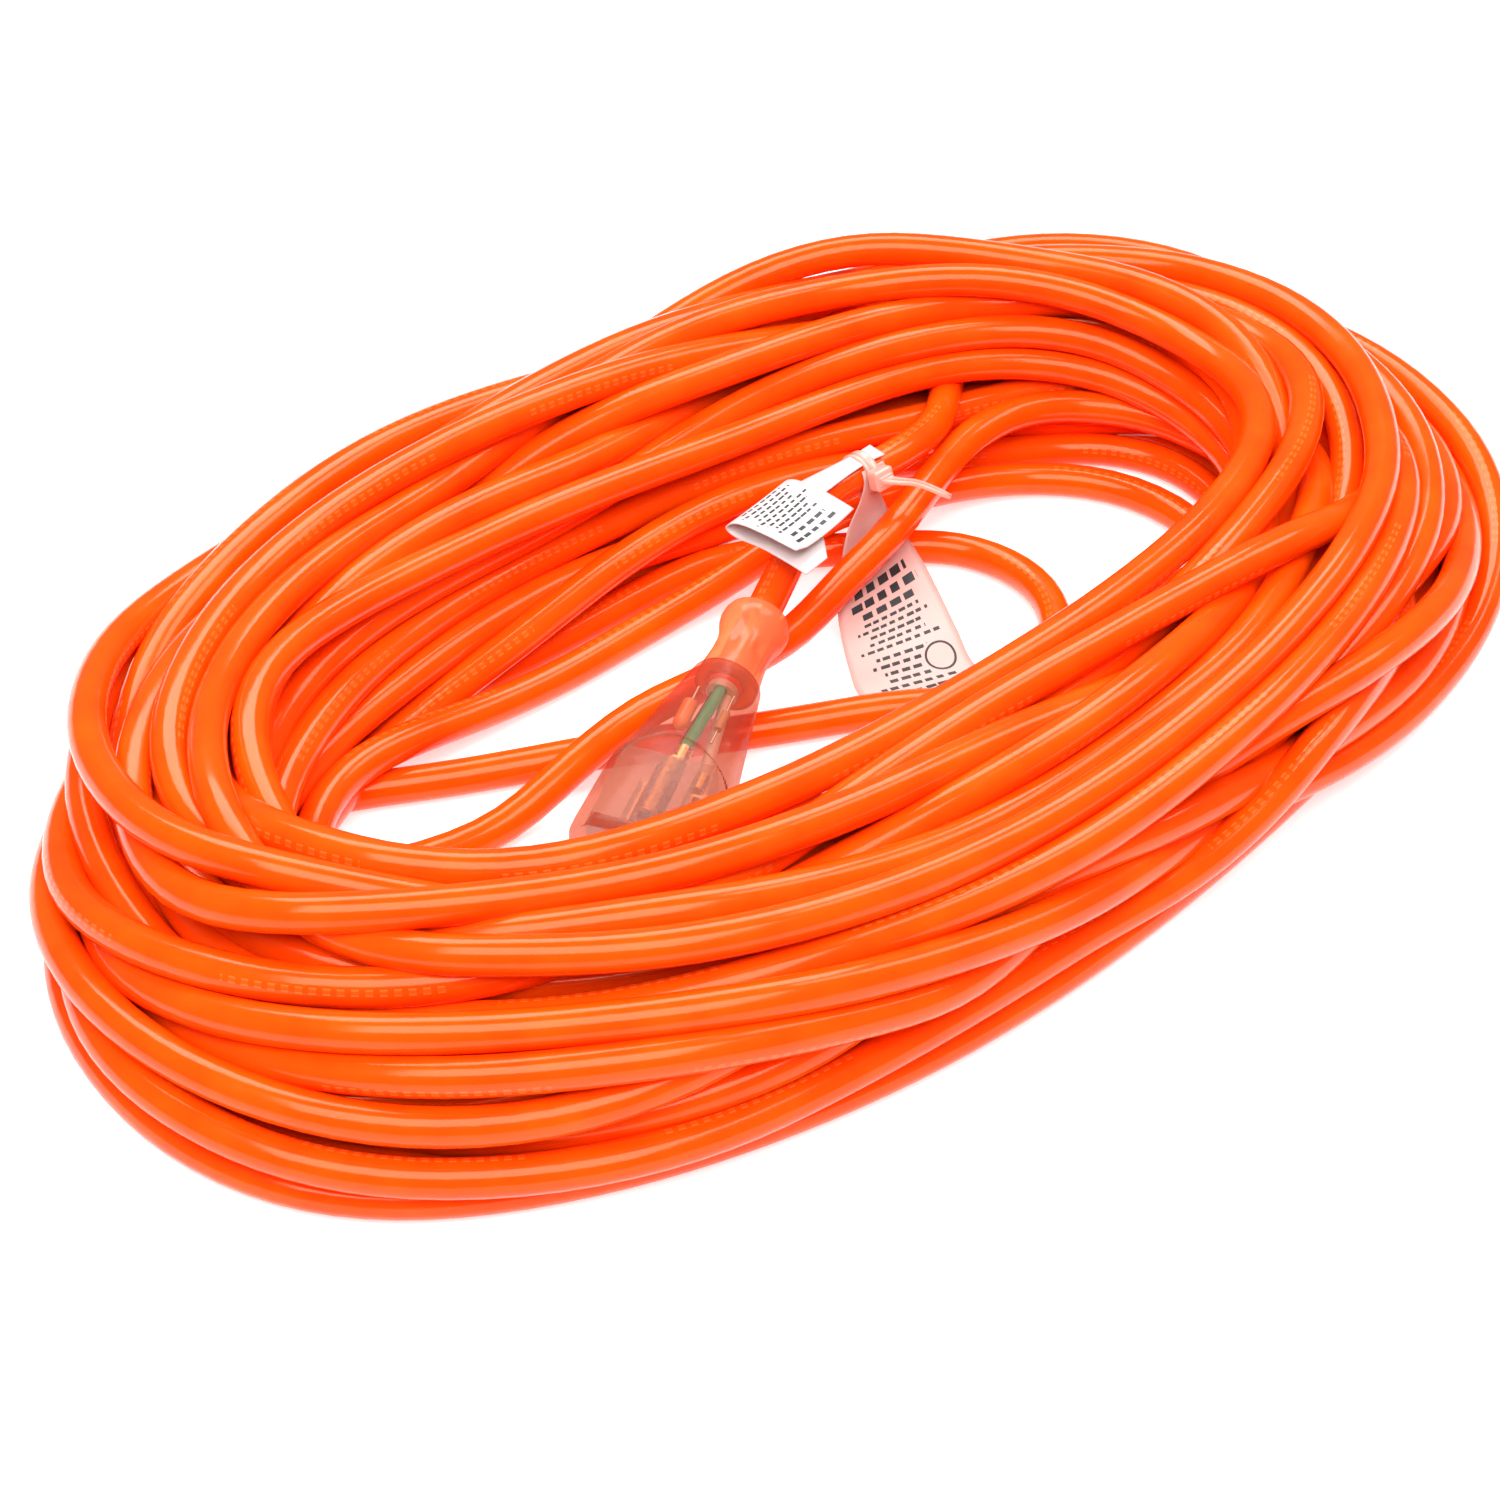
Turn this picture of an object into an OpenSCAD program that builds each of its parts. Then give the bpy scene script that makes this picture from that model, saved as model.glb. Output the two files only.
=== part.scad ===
// Outdoor extension cord, three conductors, laid in a loose oval coil.
// A clear lighted connector ends it inside the coil, and its plug lies against the inner side of the front.
// Millimetres, +Z up. X runs along the coil and Y across it, and the connector faces the front left.

/* [Cord] */
// Outside diameter of the jacket
cord_d = 9.5; // [8:0.5:11]
// Outside diameter of one insulated conductor
wire_d = 3.2; // [2.6:0.1:3.4]

/* [Coil] */
// Length of the coil over its ends
coil_l = 430; // [420:5:440]
// Width of the coil over its sides
coil_w = 246; // [242:2:250]
// Height of the coil
coil_h = 58; // [54:1:62]
// Width of the winding along the sides
side_w = 59; // [57:1:60]
// Width of the winding at the ends
end_w = 80; // [76:1:84]
// How far the lowest back strands lie into the opening
skirt_w = 26; // [20:1:28]

/* [Connector] */
// Length from the mouth of the strain relief to the face
conn_l = 90; // [88:1:94]
// Width at the face
conn_w = 34; // [32:1:36]
// Thickness at the face
conn_t = 28; // [27:1:30]
// Turn of the connector about Z, measured from +X
conn_yaw = 208; // [206:1:210]
// How far the face end dips
conn_dip = 6.5; // [6:0.5:7]

/* [Plug] */
// Length from the mouth of the strain relief to the face
plug_l = 66; // [62:1:70]
// Width at the face
plug_w = 28; // [27:1:30]
// Thickness at the face
plug_t = 25; // [25:1:26]

/* [Contacts] */
// Distance between the centres of the two blades
blade_pitch = 12.7; // [12.5:0.1:12.9]
// Distance from the line of the blades to the centre of the ground pin
ground_offset = 11.9; // [11.7:0.1:12.1]
// Thickness of a blade
blade_t = 1.5; // [1.4:0.1:1.6]
// Width of a blade
blade_w = 6.3; // [6.1:0.1:6.5]
// How far a blade stands out of the face
blade_out = 17.5; // [16:0.5:18]
// Diameter of the ground pin
pin_d = 4.8; // [4.7:0.1:4.9]
// How far the ground pin stands out of the face
pin_out = 21; // [20:0.5:22]
// Diameter of the hole for the ground pin in the connector's face
socket_d = 5.2; // [5.1:0.1:5.4]

/* [Tie and labels] */
// Width of the tie's strap
strap_w = 4; // [3.6:0.2:4.4]
// Thickness of the tie's strap
strap_t = 1.2; // [1:0.1:1.4]
// Thickness of the label and the tag
film = 0.3; // [0.25:0.05:0.35]
// Width of the safety tag
tag_w = 34; // [30:1:35]
// Width of the rating label
label_w = 25; // [22:1:26]

/* [Hidden] */

cord_r = cord_d / 2;
wire_r = wire_d / 2;
sides = 10;          // sides of a cord's tube
eps = 0.02;
running = 0.1;       // gap between a piece and the pocket that holds it

orange = [1, 0.32, 0.06];
clear_pink = [0.95, 0.62, 0.55, 0.45];
dark = [0.2, 0.2, 0.22];
brass = [0.78, 0.62, 0.3];
pale = [0.96, 0.9, 0.88];

// Where the connector, the plug and the tie stand.
conn_at = [-4, 11, 26];
plug_at = [-60, -50.5, 12.6];
tie_at = [56, 36, 30];

// Routes of the cord outside the winding.
LEAD = [[-27, -1, 23], [-15, 5, 25], [-4, 11, 26], [8, 17.4, 27.6], [20, 24.2, 29], [30, 30, 29.8],
    [39, 34, 30], [47, 35.8, 30], [56, 36, 30], [70, 36, 30], [84, 39, 29], [97, 46, 27],
    [112, 58, 25]];
INNER = [[-132, 20.5, 6], [-112, 15, 5], [-90, 11, 6], [-68, 11, 12], [-45, 12, 15.5],
    [-24, 12, 14], [-5, 13, 12], [12, 14, 12], [32, 17, 16], [52, 21, 19], [71, 27, 21],
    [90, 34, 21.5], [104, 37, 21.5], [119, 36.5, 21], [133, 30.5, 20], [145, 19.5, 18.5],
    [152, 4, 17]];
FLOOR = [[-122, 52, 5], [-104, 43, 5], [-88, 34, 5], [-68, 24, 5], [-48, 14, 5], [-28, 2, 5],
    [-8, -9, 5], [12, -21, 6], [26, -30.5, 6], [40.5, -36.5, 6], [56.5, -35, 6], [70, -27, 6],
    [78.5, -14, 6], [80.5, 1.5, 5.5], [76, 16, 5], [67, 26, 5], [55, 35.5, 5], [42, 45, 5]];
PLUG_RUN = [[-126, -54.5, 5], [-107, -60.5, 5], [-91, -58.8, 6.2], [-75, -54.5, 9.5],
    [-60, -50.5, 12.6], [-46, -50.5, 12.6], [-33, -50.5, 12.6]];

// The tag's middle line, and its width and the turn of that width at each point.
TAG = [[57, 32.6, 34], [56.5, 31.2, 32.4], [56, 30.7, 30], [54, 30.4, 26], [51.5, 29, 20],
    [50, 25.5, 12.5], [46, 18, 8.5], [41, 8, 5.5], [35, -4, 3], [31, -14, 0.6], [29, -32, 0.6],
    [30, -47, 0.6]];
TAG_WIDE = [0.24, 0.24, 0.24, 0.26, 0.4, 0.6, 0.85, 1, 1, 1, 1, 1];
TAG_TURN = [0, 0, 0, 6, 12, 12, 6, -4, -14, -20, -8, 4];
LABEL = [[20, 3, 32], [18, 12, 35], [17, 22, 36], [16, 31, 37], [15, 34, 40], [16, 31, 43],
    [17, 22, 44], [19, 11, 43]];
label_turn = 10;
TONGUE = [[17, 30, 36.9], [30, 33, 36.2], [44, 35.4, 35.38], [56, 36, 35.38], [62, 36, 35.38]];

// The free end of the tie from the ring out through its head, from the tie's own middle.
TAIL = [[0, -5.9, 0], [0, -11.3, 0], [1.5, -13.5, -0.7], [6, -17, -3], [11, -22.6, -8.2]];
TAIL_HALF = [2, 2, 1.9, 1.6, 1.2];

// ---- vectors and paths ----
function unit(v) = v / norm(v);
function spline(a, b, c, d, t) =
    0.5 * (2 * b + (c - a) * t + (2 * a - 5 * b + 4 * c - d) * t * t
        + (3 * b - 3 * c + d - a) * t * t * t);
function at(P, i) = i < 0 ? 2 * P[0] - P[1]
    : i >= len(P) ? 2 * P[len(P) - 1] - P[len(P) - 2] : P[i];
function smooth(P, n) = concat(
    [for (i = [0:len(P) - 2]) for (k = [0:n - 1])
        spline(at(P, i - 1), P[i], P[i + 1], at(P, i + 2), k / n)],
    [P[len(P) - 1]]);
function heading(P, i) = unit(P[min(i + 1, len(P) - 1)] - P[max(i - 1, 0)]);
function level_side(t) = unit(cross(t, [0, 0, 1]));

// A closed skin over rings of points that all have the same count.
module skin(rings) {
    n = len(rings[0]);
    m = len(rings);
    polyhedron(
        points = [for (r = rings) for (p = r) p],
        faces = concat(
            [[for (k = [0:n - 1]) k]],
            [for (i = [0:m - 2]) for (k = [0:n - 1]) let (a = i * n + k, b = i * n + (k + 1) % n)
                each [[a, a + n, b], [b, a + n, b + n]]],
            [[for (k = [n - 1:-1:0]) (m - 1) * n + k]]));
}

// A round tube of radius r along the points.
module tube(P, r, count = sides) {
    skin([for (i = [0:len(P) - 1]) let (t = heading(P, i), s = level_side(t), u = cross(s, t))
        [for (k = [0:count - 1]) let (a = 360 * k / count)
            P[i] + r * (cos(a) * s - sin(a) * u)]]);
}

// A flat strip of thickness film along the points, its width turned in the level plane.
module strip(P, turns, widths) {
    skin([for (i = [0:len(P) - 1])
        let (s = [cos(turns[i]), sin(turns[i]), 0] * widths[i] / 2,
            u = unit(cross(heading(P, i), s)) * film / 2)
        [P[i] + s + u, P[i] - s + u, P[i] - s - u, P[i] + s - u]]);
}

// ---- coil ----
shoulder = 34;       // how far in from its side the winding reaches its full height
widest = 0.3;        // height of the winding's widest place, over its whole height
foot_turn = 24;      // turn of the winding's side below its widest place
side_bulge = 0.7;    // below 1 makes the side squarer
opening_flare = 6;   // how much wider the opening is at the top, to each side

// The winding's side, from its foot round to its shoulder: [distance out, height].
function winding_side(reach) = [for (a = [-foot_turn:12:84])
    [reach - shoulder + shoulder * pow(cos(a), side_bulge),
        coil_h * (a < 0 ? widest * (1 + sin(a) / sin(foot_turn)) : widest + (1 - widest) * sin(a))]];

module coil_slab() {
    run = coil_l - coil_w;
    half = concat([[0, 0]], winding_side(coil_w / 2), [[coil_w / 2 - shoulder, coil_h], [0, coil_h]]);
    translate([-run / 2, 0, 0]) rotate([90, 0, 90]) linear_extrude(run)
        union() {
            polygon(half);
            mirror([1, 0]) polygon(half);
        }
    for (s = [-1, 1]) translate([s * run / 2, 0, 0]) rotate([0, 0, s * 90 - 180])
        rotate_extrude(angle = 180, $fn = 96) polygon(half);
}

module coil_opening() {
    foot = coil_w / 2 - side_w;
    lip = foot + opening_flare;
    run = coil_l - 2 * end_w - 2 * foot;
    translate([-run / 2, 0, 0]) rotate([90, 0, 90]) linear_extrude(run)
        polygon([[-foot, -1], [foot, -1], [lip, coil_h + 1], [-lip, coil_h + 1]]);
    for (s = [-1, 1]) translate([s * run / 2, 0, -1])
        cylinder(r1 = foot, r2 = lip, h = coil_h + 2, $fn = 96);
}

skirt_from = -80;    // ends of the back strands that lie into the opening
skirt_to = 100;
skirt_h = 42;        // their height against the winding
skirt_toe = 16;      // their height at the foot

// The strands that lie on the floor against the inner side of the back of the winding.
module back_skirt() {
    wall = coil_w / 2 - side_w + opening_flare + 2;
    foot = coil_w / 2 - side_w - skirt_w;
    translate([skirt_from, 0, 0]) rotate([90, 0, 90]) linear_extrude(skirt_to - skirt_from)
        polygon([[foot, 0], [wall, 0], [wall, skirt_h], [wall - 8, skirt_h - 2],
            [foot + 8, skirt_toe]]);
}

module cord_coil() {
    color(orange) {
        difference() {
            coil_slab();
            coil_opening();
        }
        back_skirt();
    }
}

module cord_run(P) { color(orange) tube(P, cord_r); }
module connector_lead() { cord_run(LEAD); }
module inner_turn() { cord_run(INNER); }
module floor_loop() { cord_run(FLOOR); }
module plug_lead() { cord_run(PLUG_RUN); }

// ---- connector: local X runs from the mouth to the face, and the ground hole is uppermost ----
cuff_l = 26;         // strain relief
body_start = 24;     // where the clear body begins
grip_start = 60;     // where the wide front part begins
face_deep = 27;      // depth of the face insert
ground_z = 8;        // height of the ground hole over the axis
blade_z = ground_z - ground_offset;
pocket_l = 20;       // length of a contact's pocket
conn_seat = 1;       // how far the face insert sits inside the body's front edge
insert_back = conn_l - conn_seat - face_deep;

module on_connector() {
    translate(conn_at) rotate([0, conn_dip, conn_yaw]) children();
}

module connector_strain_relief() {
    bore = cord_r + 0.6;
    color(clear_pink) on_connector() rotate([90, 0, 90]) rotate_extrude($fn = 72)
        polygon([[7.4, 0], [8.6, 1], [9, 4], [8.7, 7], [7.7, 10], [7.4, 13], [7.6, 18], [8, 21],
            [8, cuff_l], [bore, cuff_l], [bore, 9], [6.6, 4], [7, 0]]);
}

// A slab across the axis with rounded corners, for the hulls of the two housings.
module rounded_slab(x, w, t, r, thick = 1) {
    translate([x, 0, 0]) rotate([90, 0, 90]) linear_extrude(thick)
        hull() for (y = [-1, 1], z = [-1, 1])
            translate([y * (w / 2 - r), z * (t / 2 - r)]) circle(r, $fn = 32);
}

module connector_body() {
    color(clear_pink) on_connector() difference() {
        union() {
            hull() {
                rounded_slab(body_start, 19, 19, 9);
                rounded_slab(grip_start - 1, conn_w - 5, conn_t - 3, 10);
            }
            hull() {
                rounded_slab(grip_start, conn_w - 1, conn_t - 1, 9);
                rounded_slab(conn_l - 1, conn_w, conn_t, 8);
            }
        }
        // pocket for the strain relief, room for the joints, and the seat of the face insert
        translate([body_start - 1, 0, 0]) rotate([0, 90, 0])
            cylinder(r = 8 + running, h = cuff_l - body_start + 1, $fn = 48);
        translate([cuff_l - eps, -7.5, -7.5]) cube([conn_l - face_deep - cuff_l, 15, 15]);
        translate([insert_back - 5, -9, -9]) cube([5 + eps, 18, 18]);
        translate([insert_back, -face_w / 2 - running, -face_t / 2 - running])
            cube([face_deep + conn_seat + 1, face_w + 2 * running, face_t + 2 * running]);
    }
}

face_w = 24;
face_t = 23;

// The insert that holds the three contacts, with a pocket behind each opening.
module connector_face() {
    color(dark) on_connector() difference() {
        translate([insert_back, -face_w / 2, -face_t / 2]) cube([face_deep, face_w, face_t]);
        for (s = [[-1, blade_w + 0.6], [1, blade_w + 2]]) {
            translate([insert_back - 1, s[0] * blade_pitch / 2 - 2.5, blade_z - 4.6])
                cube([pocket_l + 1, 5, 9.2]);
            translate([insert_back, s[0] * blade_pitch / 2 - blade_t / 2 - 0.3, blade_z - s[1] / 2])
                cube([face_deep + 1, blade_t + 0.6, s[1]]);
        }
        translate([insert_back - 1, 0, ground_z]) rotate([0, 90, 0])
            cylinder(d = 7, h = pocket_l + 1, $fn = 48);
        translate([insert_back, 0, ground_z]) rotate([0, 90, 0])
            cylinder(d = socket_d, h = face_deep + 1, $fn = 64);
    }
}

// Two spring leaves joined at the back, which grip a blade.
module leaf_contact(y) {
    leaf = 0.7;
    gap = blade_t + 0.1;
    color(brass) on_connector() translate([insert_back, y, blade_z]) {
        for (s = [-1, 1])
            translate([1, s * (gap + leaf) / 2 - leaf / 2, -3.4]) cube([pocket_l - 3, leaf, 6.8]);
        translate([0.4, -gap / 2 - leaf, -3.4]) cube([0.8, gap + 2 * leaf, 6.8]);
        translate([-3, -1, -0.4]) cube([3.6, 2, 0.8]);
    }
}
module connector_line_contact() { leaf_contact(-blade_pitch / 2); }
module connector_neutral_contact() { leaf_contact(blade_pitch / 2); }

module connector_ground_contact() {
    color(brass) on_connector() translate([insert_back, 0, ground_z]) {
        rotate([0, 90, 0]) difference() {
            cylinder(r = 3.3, h = pocket_l - 2, $fn = 48);
            translate([0, 0, 1.5]) cylinder(r = pin_d / 2 + 0.05, h = pocket_l, $fn = 48);
            translate([-0.4, -4, 6]) cube([0.8, 8, pocket_l]);
        }
        translate([-3, -1, -0.4]) cube([3.2, 2, 0.8]);
    }
}

// Where each conductor meets its crimp, [across, up], and the crimps' own place.
conn_ends = [[-4.4, blade_z], [4.4, blade_z], [0, 5.2]];
crimp_l = 5;
crimp_r = 2.2;
crimp_x = insert_back - 3 - crimp_l;

module connector_crimps() {
    color(brass) on_connector() for (e = conn_ends)
        translate([crimp_x, e[0], e[1]]) rotate([0, 90, 0]) difference() {
            cylinder(r = crimp_r, h = crimp_l, $fn = 32);
            translate([0, 0, -1]) cylinder(r = wire_r + 0.05, h = crimp_l, $fn = 32);
        }
}

// A conductor from the end of the jacket to a crimp. The three fan out from a triangle.
jacket_end = 27;
bundle_r = 1.95;
function wire_path(start, stop, lay, e) = [
    [start, bundle_r * cos(lay), bundle_r * sin(lay)],
    [start + 3, bundle_r * cos(lay), bundle_r * sin(lay)],
    [(start + stop) / 2, (e[0] + bundle_r * cos(lay)) / 2, (e[1] + bundle_r * sin(lay)) / 2],
    [stop - 3, e[0], e[1]],
    [stop, e[0], e[1]]];
module conn_wire(lay, e) {
    on_connector() tube(wire_path(jacket_end, crimp_x + 3, lay, e), wire_r, 8);
}
module connector_black_wire() { color("#222222") conn_wire(210, conn_ends[0]); }
module connector_white_wire() { color("#eeeeee") conn_wire(330, conn_ends[1]); }
module connector_green_wire() { color("#118844") conn_wire(90, conn_ends[2]); }

// The paper and cotton that fill the round of the jacket beside the conductors.
module connector_filler() {
    color("tan") on_connector() translate([jacket_end, 0, 0]) rotate([0, 90, 0]) difference() {
        cylinder(r = cord_r - 0.6, h = 2, $fn = 32);
        for (a = [210, 330, 90]) translate([-bundle_r * sin(a), bundle_r * cos(a), -1])
            cylinder(r = wire_r + 0.08, h = 4, $fn = 24);
        translate([0, 0, -1]) cylinder(r = 0.6, h = 4, $fn = 24);
    }
}

// ---- lamp that glows while the cord is live ----
lamp_x = 38;
lamp_y = -4.6;
lamp_z = 4.6;
module power_lamp() {
    color([1, 0.6, 0.4]) on_connector() translate([lamp_x, lamp_y, lamp_z]) rotate([0, 90, 0]) {
        cylinder(r = 2, h = 7, $fn = 32);
        translate([0, 0, 7]) sphere(r = 2, $fn = 32);
    }
}
module lamp_resistor() {
    color("burlywood") on_connector() translate([lamp_x + 1, 5.4, 5.2]) rotate([0, 90, 0])
        cylinder(r = 1.1, h = 6, $fn = 24);
}
module lamp_leads() {
    color("silver") on_connector() {
        translate([lamp_x - 6, lamp_y, lamp_z]) rotate([0, 90, 0]) cylinder(r = 0.3, h = 6, $fn = 16);
        translate([lamp_x - 5, 5.4, 5.2]) rotate([0, 90, 0]) cylinder(r = 0.3, h = 6, $fn = 16);
        translate([lamp_x + 7, 5.4, 5.2]) rotate([0, 90, 0]) cylinder(r = 0.3, h = 5, $fn = 16);
    }
}

// ---- plug: X runs from the mouth to the face, and the ground pin is uppermost ----
plug_cuff = 28;
plug_ground_z = 6.4;
plug_blade_z = plug_ground_z - ground_offset;
bridge_l = 9;
root = 4;            // length of a blade or pin behind the bridge

module on_plug() {
    translate(plug_at) children();
}

module plug_strain_relief() {
    bore = cord_r + 0.6;
    color(clear_pink) on_plug() rotate([90, 0, 90]) rotate_extrude($fn = 72)
        polygon([[bore, 0], [6.6, 0], [7, 1], [7, 5], [6.4, 5.5], [6.4, 7], [7.2, 7.5], [7.2, 11.5],
            [6.6, 12], [6.6, 13.5], [7.5, 14], [7.5, 18], [6.9, 18.5], [6.9, 20], [8, 21],
            [8, plug_cuff], [bore, plug_cuff]]);
}

module plug_body() {
    color(clear_pink) on_plug() difference() {
        union() {
            hull() {
                rounded_slab(plug_cuff - 3, 19, 19, 9);
                rounded_slab(plug_l - 17, plug_w - 2, plug_t - 1, 9);
            }
            hull() {
                rounded_slab(plug_l - 17, plug_w - 2, plug_t - 1, 9);
                rounded_slab(plug_l - 1, plug_w, plug_t, 8);
            }
        }
        translate([plug_cuff - 4, 0, 0]) rotate([0, 90, 0])
            cylinder(r = 8 + running, h = 4, $fn = 48);
        translate([plug_cuff - eps, -8, -8])
            cube([plug_l - bridge_l - plug_cuff - 0.3, 16, 16]);
        translate([plug_l - bridge_l - root - 1, -8, -9.3]) cube([root + 1, 16, 18.6]);
        translate([plug_l - bridge_l - 0.4, -bridge_w / 2 - running, -bridge_t / 2 - running])
            cube([bridge_l + 2, bridge_w + 2 * running, bridge_t + 2 * running]);
    }
}

bridge_w = 21;
bridge_t = 20;
module plug_bridge() {
    color(dark) on_plug() difference() {
        translate([plug_l - bridge_l, -bridge_w / 2, -bridge_t / 2])
            cube([bridge_l, bridge_w, bridge_t]);
        for (s = [-1, 1])
            translate([plug_l - bridge_l - 1, s * blade_pitch / 2 - blade_t / 2 - 0.03,
                plug_blade_z - blade_w / 2 - 0.03])
                cube([bridge_l + 2, blade_t + 0.06, blade_w + 0.06]);
        translate([plug_l - bridge_l - 1, 0, plug_ground_z]) rotate([0, 90, 0])
            cylinder(d = pin_root_d + 0.06, h = bridge_l + 2, $fn = 64);
    }
}

module blade(y) {
    long = root + bridge_l + blade_out;
    color(brass) on_plug()
        translate([plug_l - bridge_l - root, y - blade_t / 2, plug_blade_z - blade_w / 2])
            difference() {
                cube([long, blade_t, blade_w]);
                translate([long - 6, -1, blade_w / 2]) rotate([-90, 0, 0])
                    cylinder(d = 3.2, h = blade_t + 2, $fn = 32);
                for (s = [0, 1]) translate([long, -1, s * blade_w]) rotate([0, 45, 0])
                    translate([-0.8, 0, -0.8]) cube([1.6, blade_t + 2, 1.6]);
            }
}
module plug_line_blade() { blade(blade_pitch / 2); }
module plug_neutral_blade() { blade(-blade_pitch / 2); }

pin_root_d = pin_d + 0.6;
pin_tip = 1.4;       // length of the pin's tapered tip
module plug_ground_pin() {
    color(brass) on_plug() translate([plug_l, 0, plug_ground_z]) rotate([0, 90, 0]) {
        translate([0, 0, -bridge_l - root])
            cylinder(d = pin_root_d, h = bridge_l + root, $fn = 64);
        cylinder(d = pin_d, h = pin_out - pin_tip, $fn = 64);
        translate([0, 0, pin_out - pin_tip])
            cylinder(d1 = pin_d, d2 = pin_d - 2, h = pin_tip, $fn = 64);
    }
}

plug_ends = [[4.6, plug_blade_z], [-4.6, plug_blade_z], [0, 5]];
plug_crimp_x = plug_l - bridge_l - root - crimp_l - 0.2;
module plug_crimps() {
    color(brass) on_plug() for (e = plug_ends)
        translate([plug_crimp_x, e[0], e[1]]) rotate([0, 90, 0]) difference() {
            cylinder(r = crimp_r, h = crimp_l, $fn = 32);
            translate([0, 0, -1]) cylinder(r = wire_r + 0.05, h = crimp_l, $fn = 32);
        }
}
module plug_wire(lay, e) {
    on_plug() tube(wire_path(plug_cuff + 0.5, plug_crimp_x + 3, lay, e), wire_r, 8);
}
module plug_black_wire() { color("#222222") plug_wire(330, plug_ends[0]); }
module plug_white_wire() { color("#eeeeee") plug_wire(210, plug_ends[1]); }
module plug_green_wire() { color("#118844") plug_wire(90, plug_ends[2]); }

// ---- tie, label and tag ----
strap_r = cord_r + 0.45;
head_turn = 20;      // how far over the front of the cord the head sits
head_w = 6.4;
head_deep = 4.6;
head_h = 6;
slot_slack = 0.2;    // how much wider than the strap the head's slot is

// A nylon tie: a ring round the cord, a head on it, and a free end that leaves through the head.
module cable_tie() {
    color(pale) translate(tie_at) {
        rotate([90, 0, 90]) translate([0, 0, -strap_w / 2]) difference() {
            cylinder(r = strap_r + strap_t, h = strap_w, $fn = 64);
            translate([0, 0, -1]) cylinder(r = strap_r, h = strap_w + 2, $fn = 64);
        }
        rotate([-head_turn, 0, 0]) {
            difference() {
                translate([-head_w / 2, -strap_r - strap_t - head_deep + 0.4, -head_h / 2])
                    cube([head_w, head_deep, head_h]);
                translate([-(strap_w + slot_slack) / 2, -strap_r - strap_t - head_deep,
                    -(strap_t + slot_slack) / 2])
                    cube([strap_w + slot_slack, head_deep + 1, strap_t + slot_slack]);
            }
            skin([for (i = [0:len(TAIL) - 1])
                let (s = level_side(heading(TAIL, i)), u = cross(s, heading(TAIL, i)) * strap_t / 2)
                [TAIL[i] + s * TAIL_HALF[i] - u, TAIL[i] - s * TAIL_HALF[i] - u,
                 TAIL[i] - s * TAIL_HALF[i] + u, TAIL[i] + s * TAIL_HALF[i] + u]]);
        }
    }
}

tongue_w = 6;        // width of the label's tongue, which the tie holds
module rating_label() {
    color("white") {
        strip(smooth(LABEL, 2), [for (i = [0:2 * len(LABEL) - 2]) label_turn],
            [for (i = [0:2 * len(LABEL) - 2]) label_w]);
        strip(TONGUE, [for (p = TONGUE) 90], [for (p = TONGUE) tongue_w]);
    }
}

module safety_tag() {
    color(pale) strip(smooth(TAG, 2), smooth(TAG_TURN, 2), tag_w * smooth(TAG_WIDE, 2));
}

cord_coil();
connector_lead();
inner_turn();
floor_loop();
plug_lead();
connector_strain_relief();
connector_body();
connector_face();
connector_line_contact();
connector_neutral_contact();
connector_ground_contact();
connector_crimps();
connector_black_wire();
connector_white_wire();
connector_green_wire();
connector_filler();
power_lamp();
lamp_resistor();
lamp_leads();
plug_strain_relief();
plug_body();
plug_bridge();
plug_line_blade();
plug_neutral_blade();
plug_ground_pin();
plug_crimps();
plug_black_wire();
plug_white_wire();
plug_green_wire();
cable_tie();
rating_label();
safety_tag();
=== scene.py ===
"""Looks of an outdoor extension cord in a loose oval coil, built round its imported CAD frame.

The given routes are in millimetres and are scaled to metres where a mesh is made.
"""
import math
import bmesh
import bpy
import numpy as np
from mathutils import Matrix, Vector


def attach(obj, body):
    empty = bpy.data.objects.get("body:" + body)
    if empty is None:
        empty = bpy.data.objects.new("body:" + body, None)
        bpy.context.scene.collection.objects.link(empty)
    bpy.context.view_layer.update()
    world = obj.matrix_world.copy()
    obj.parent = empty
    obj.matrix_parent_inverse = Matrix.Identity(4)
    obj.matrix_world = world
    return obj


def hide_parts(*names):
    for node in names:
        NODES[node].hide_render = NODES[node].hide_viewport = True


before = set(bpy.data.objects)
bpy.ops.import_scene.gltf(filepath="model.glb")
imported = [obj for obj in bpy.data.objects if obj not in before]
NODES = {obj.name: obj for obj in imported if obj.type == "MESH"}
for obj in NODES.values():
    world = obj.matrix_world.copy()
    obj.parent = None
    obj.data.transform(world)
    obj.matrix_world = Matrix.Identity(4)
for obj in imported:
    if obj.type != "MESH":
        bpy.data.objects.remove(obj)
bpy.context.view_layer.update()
MM = 0.001
SEED = 11
scene = bpy.context.scene
norm = np.linalg.norm


# --- camera
CAM_AZIMUTH, CAM_ELEVATION = 41.8, 41.3
CAM_TARGET = np.array([-36.0, -21.0, 20.0])
CAM_DISTANCE = 738.0


def aimed(name, data, at, look):
    """A camera or lamp at a point, pointed along look."""
    obj = bpy.data.objects.new(name, data)
    scene.collection.objects.link(obj)
    obj.location = at
    obj.rotation_mode = "QUATERNION"
    obj.rotation_quaternion = Vector(look).to_track_quat("-Z", "Y")
    return obj


def camera():
    a, e = math.radians(CAM_AZIMUTH), math.radians(CAM_ELEVATION)
    look = np.array([math.sin(a) * math.cos(e), math.cos(a) * math.cos(e), -math.sin(e)])
    data = bpy.data.cameras.new("camera")
    data.sensor_width = 36.0
    data.lens = 70.5
    data.dof.use_dof = False
    data.clip_start, data.clip_end = 0.01, 20.0
    scene.camera = aimed("camera", data, (CAM_TARGET - look * CAM_DISTANCE) * MM, look)


camera()


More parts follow.
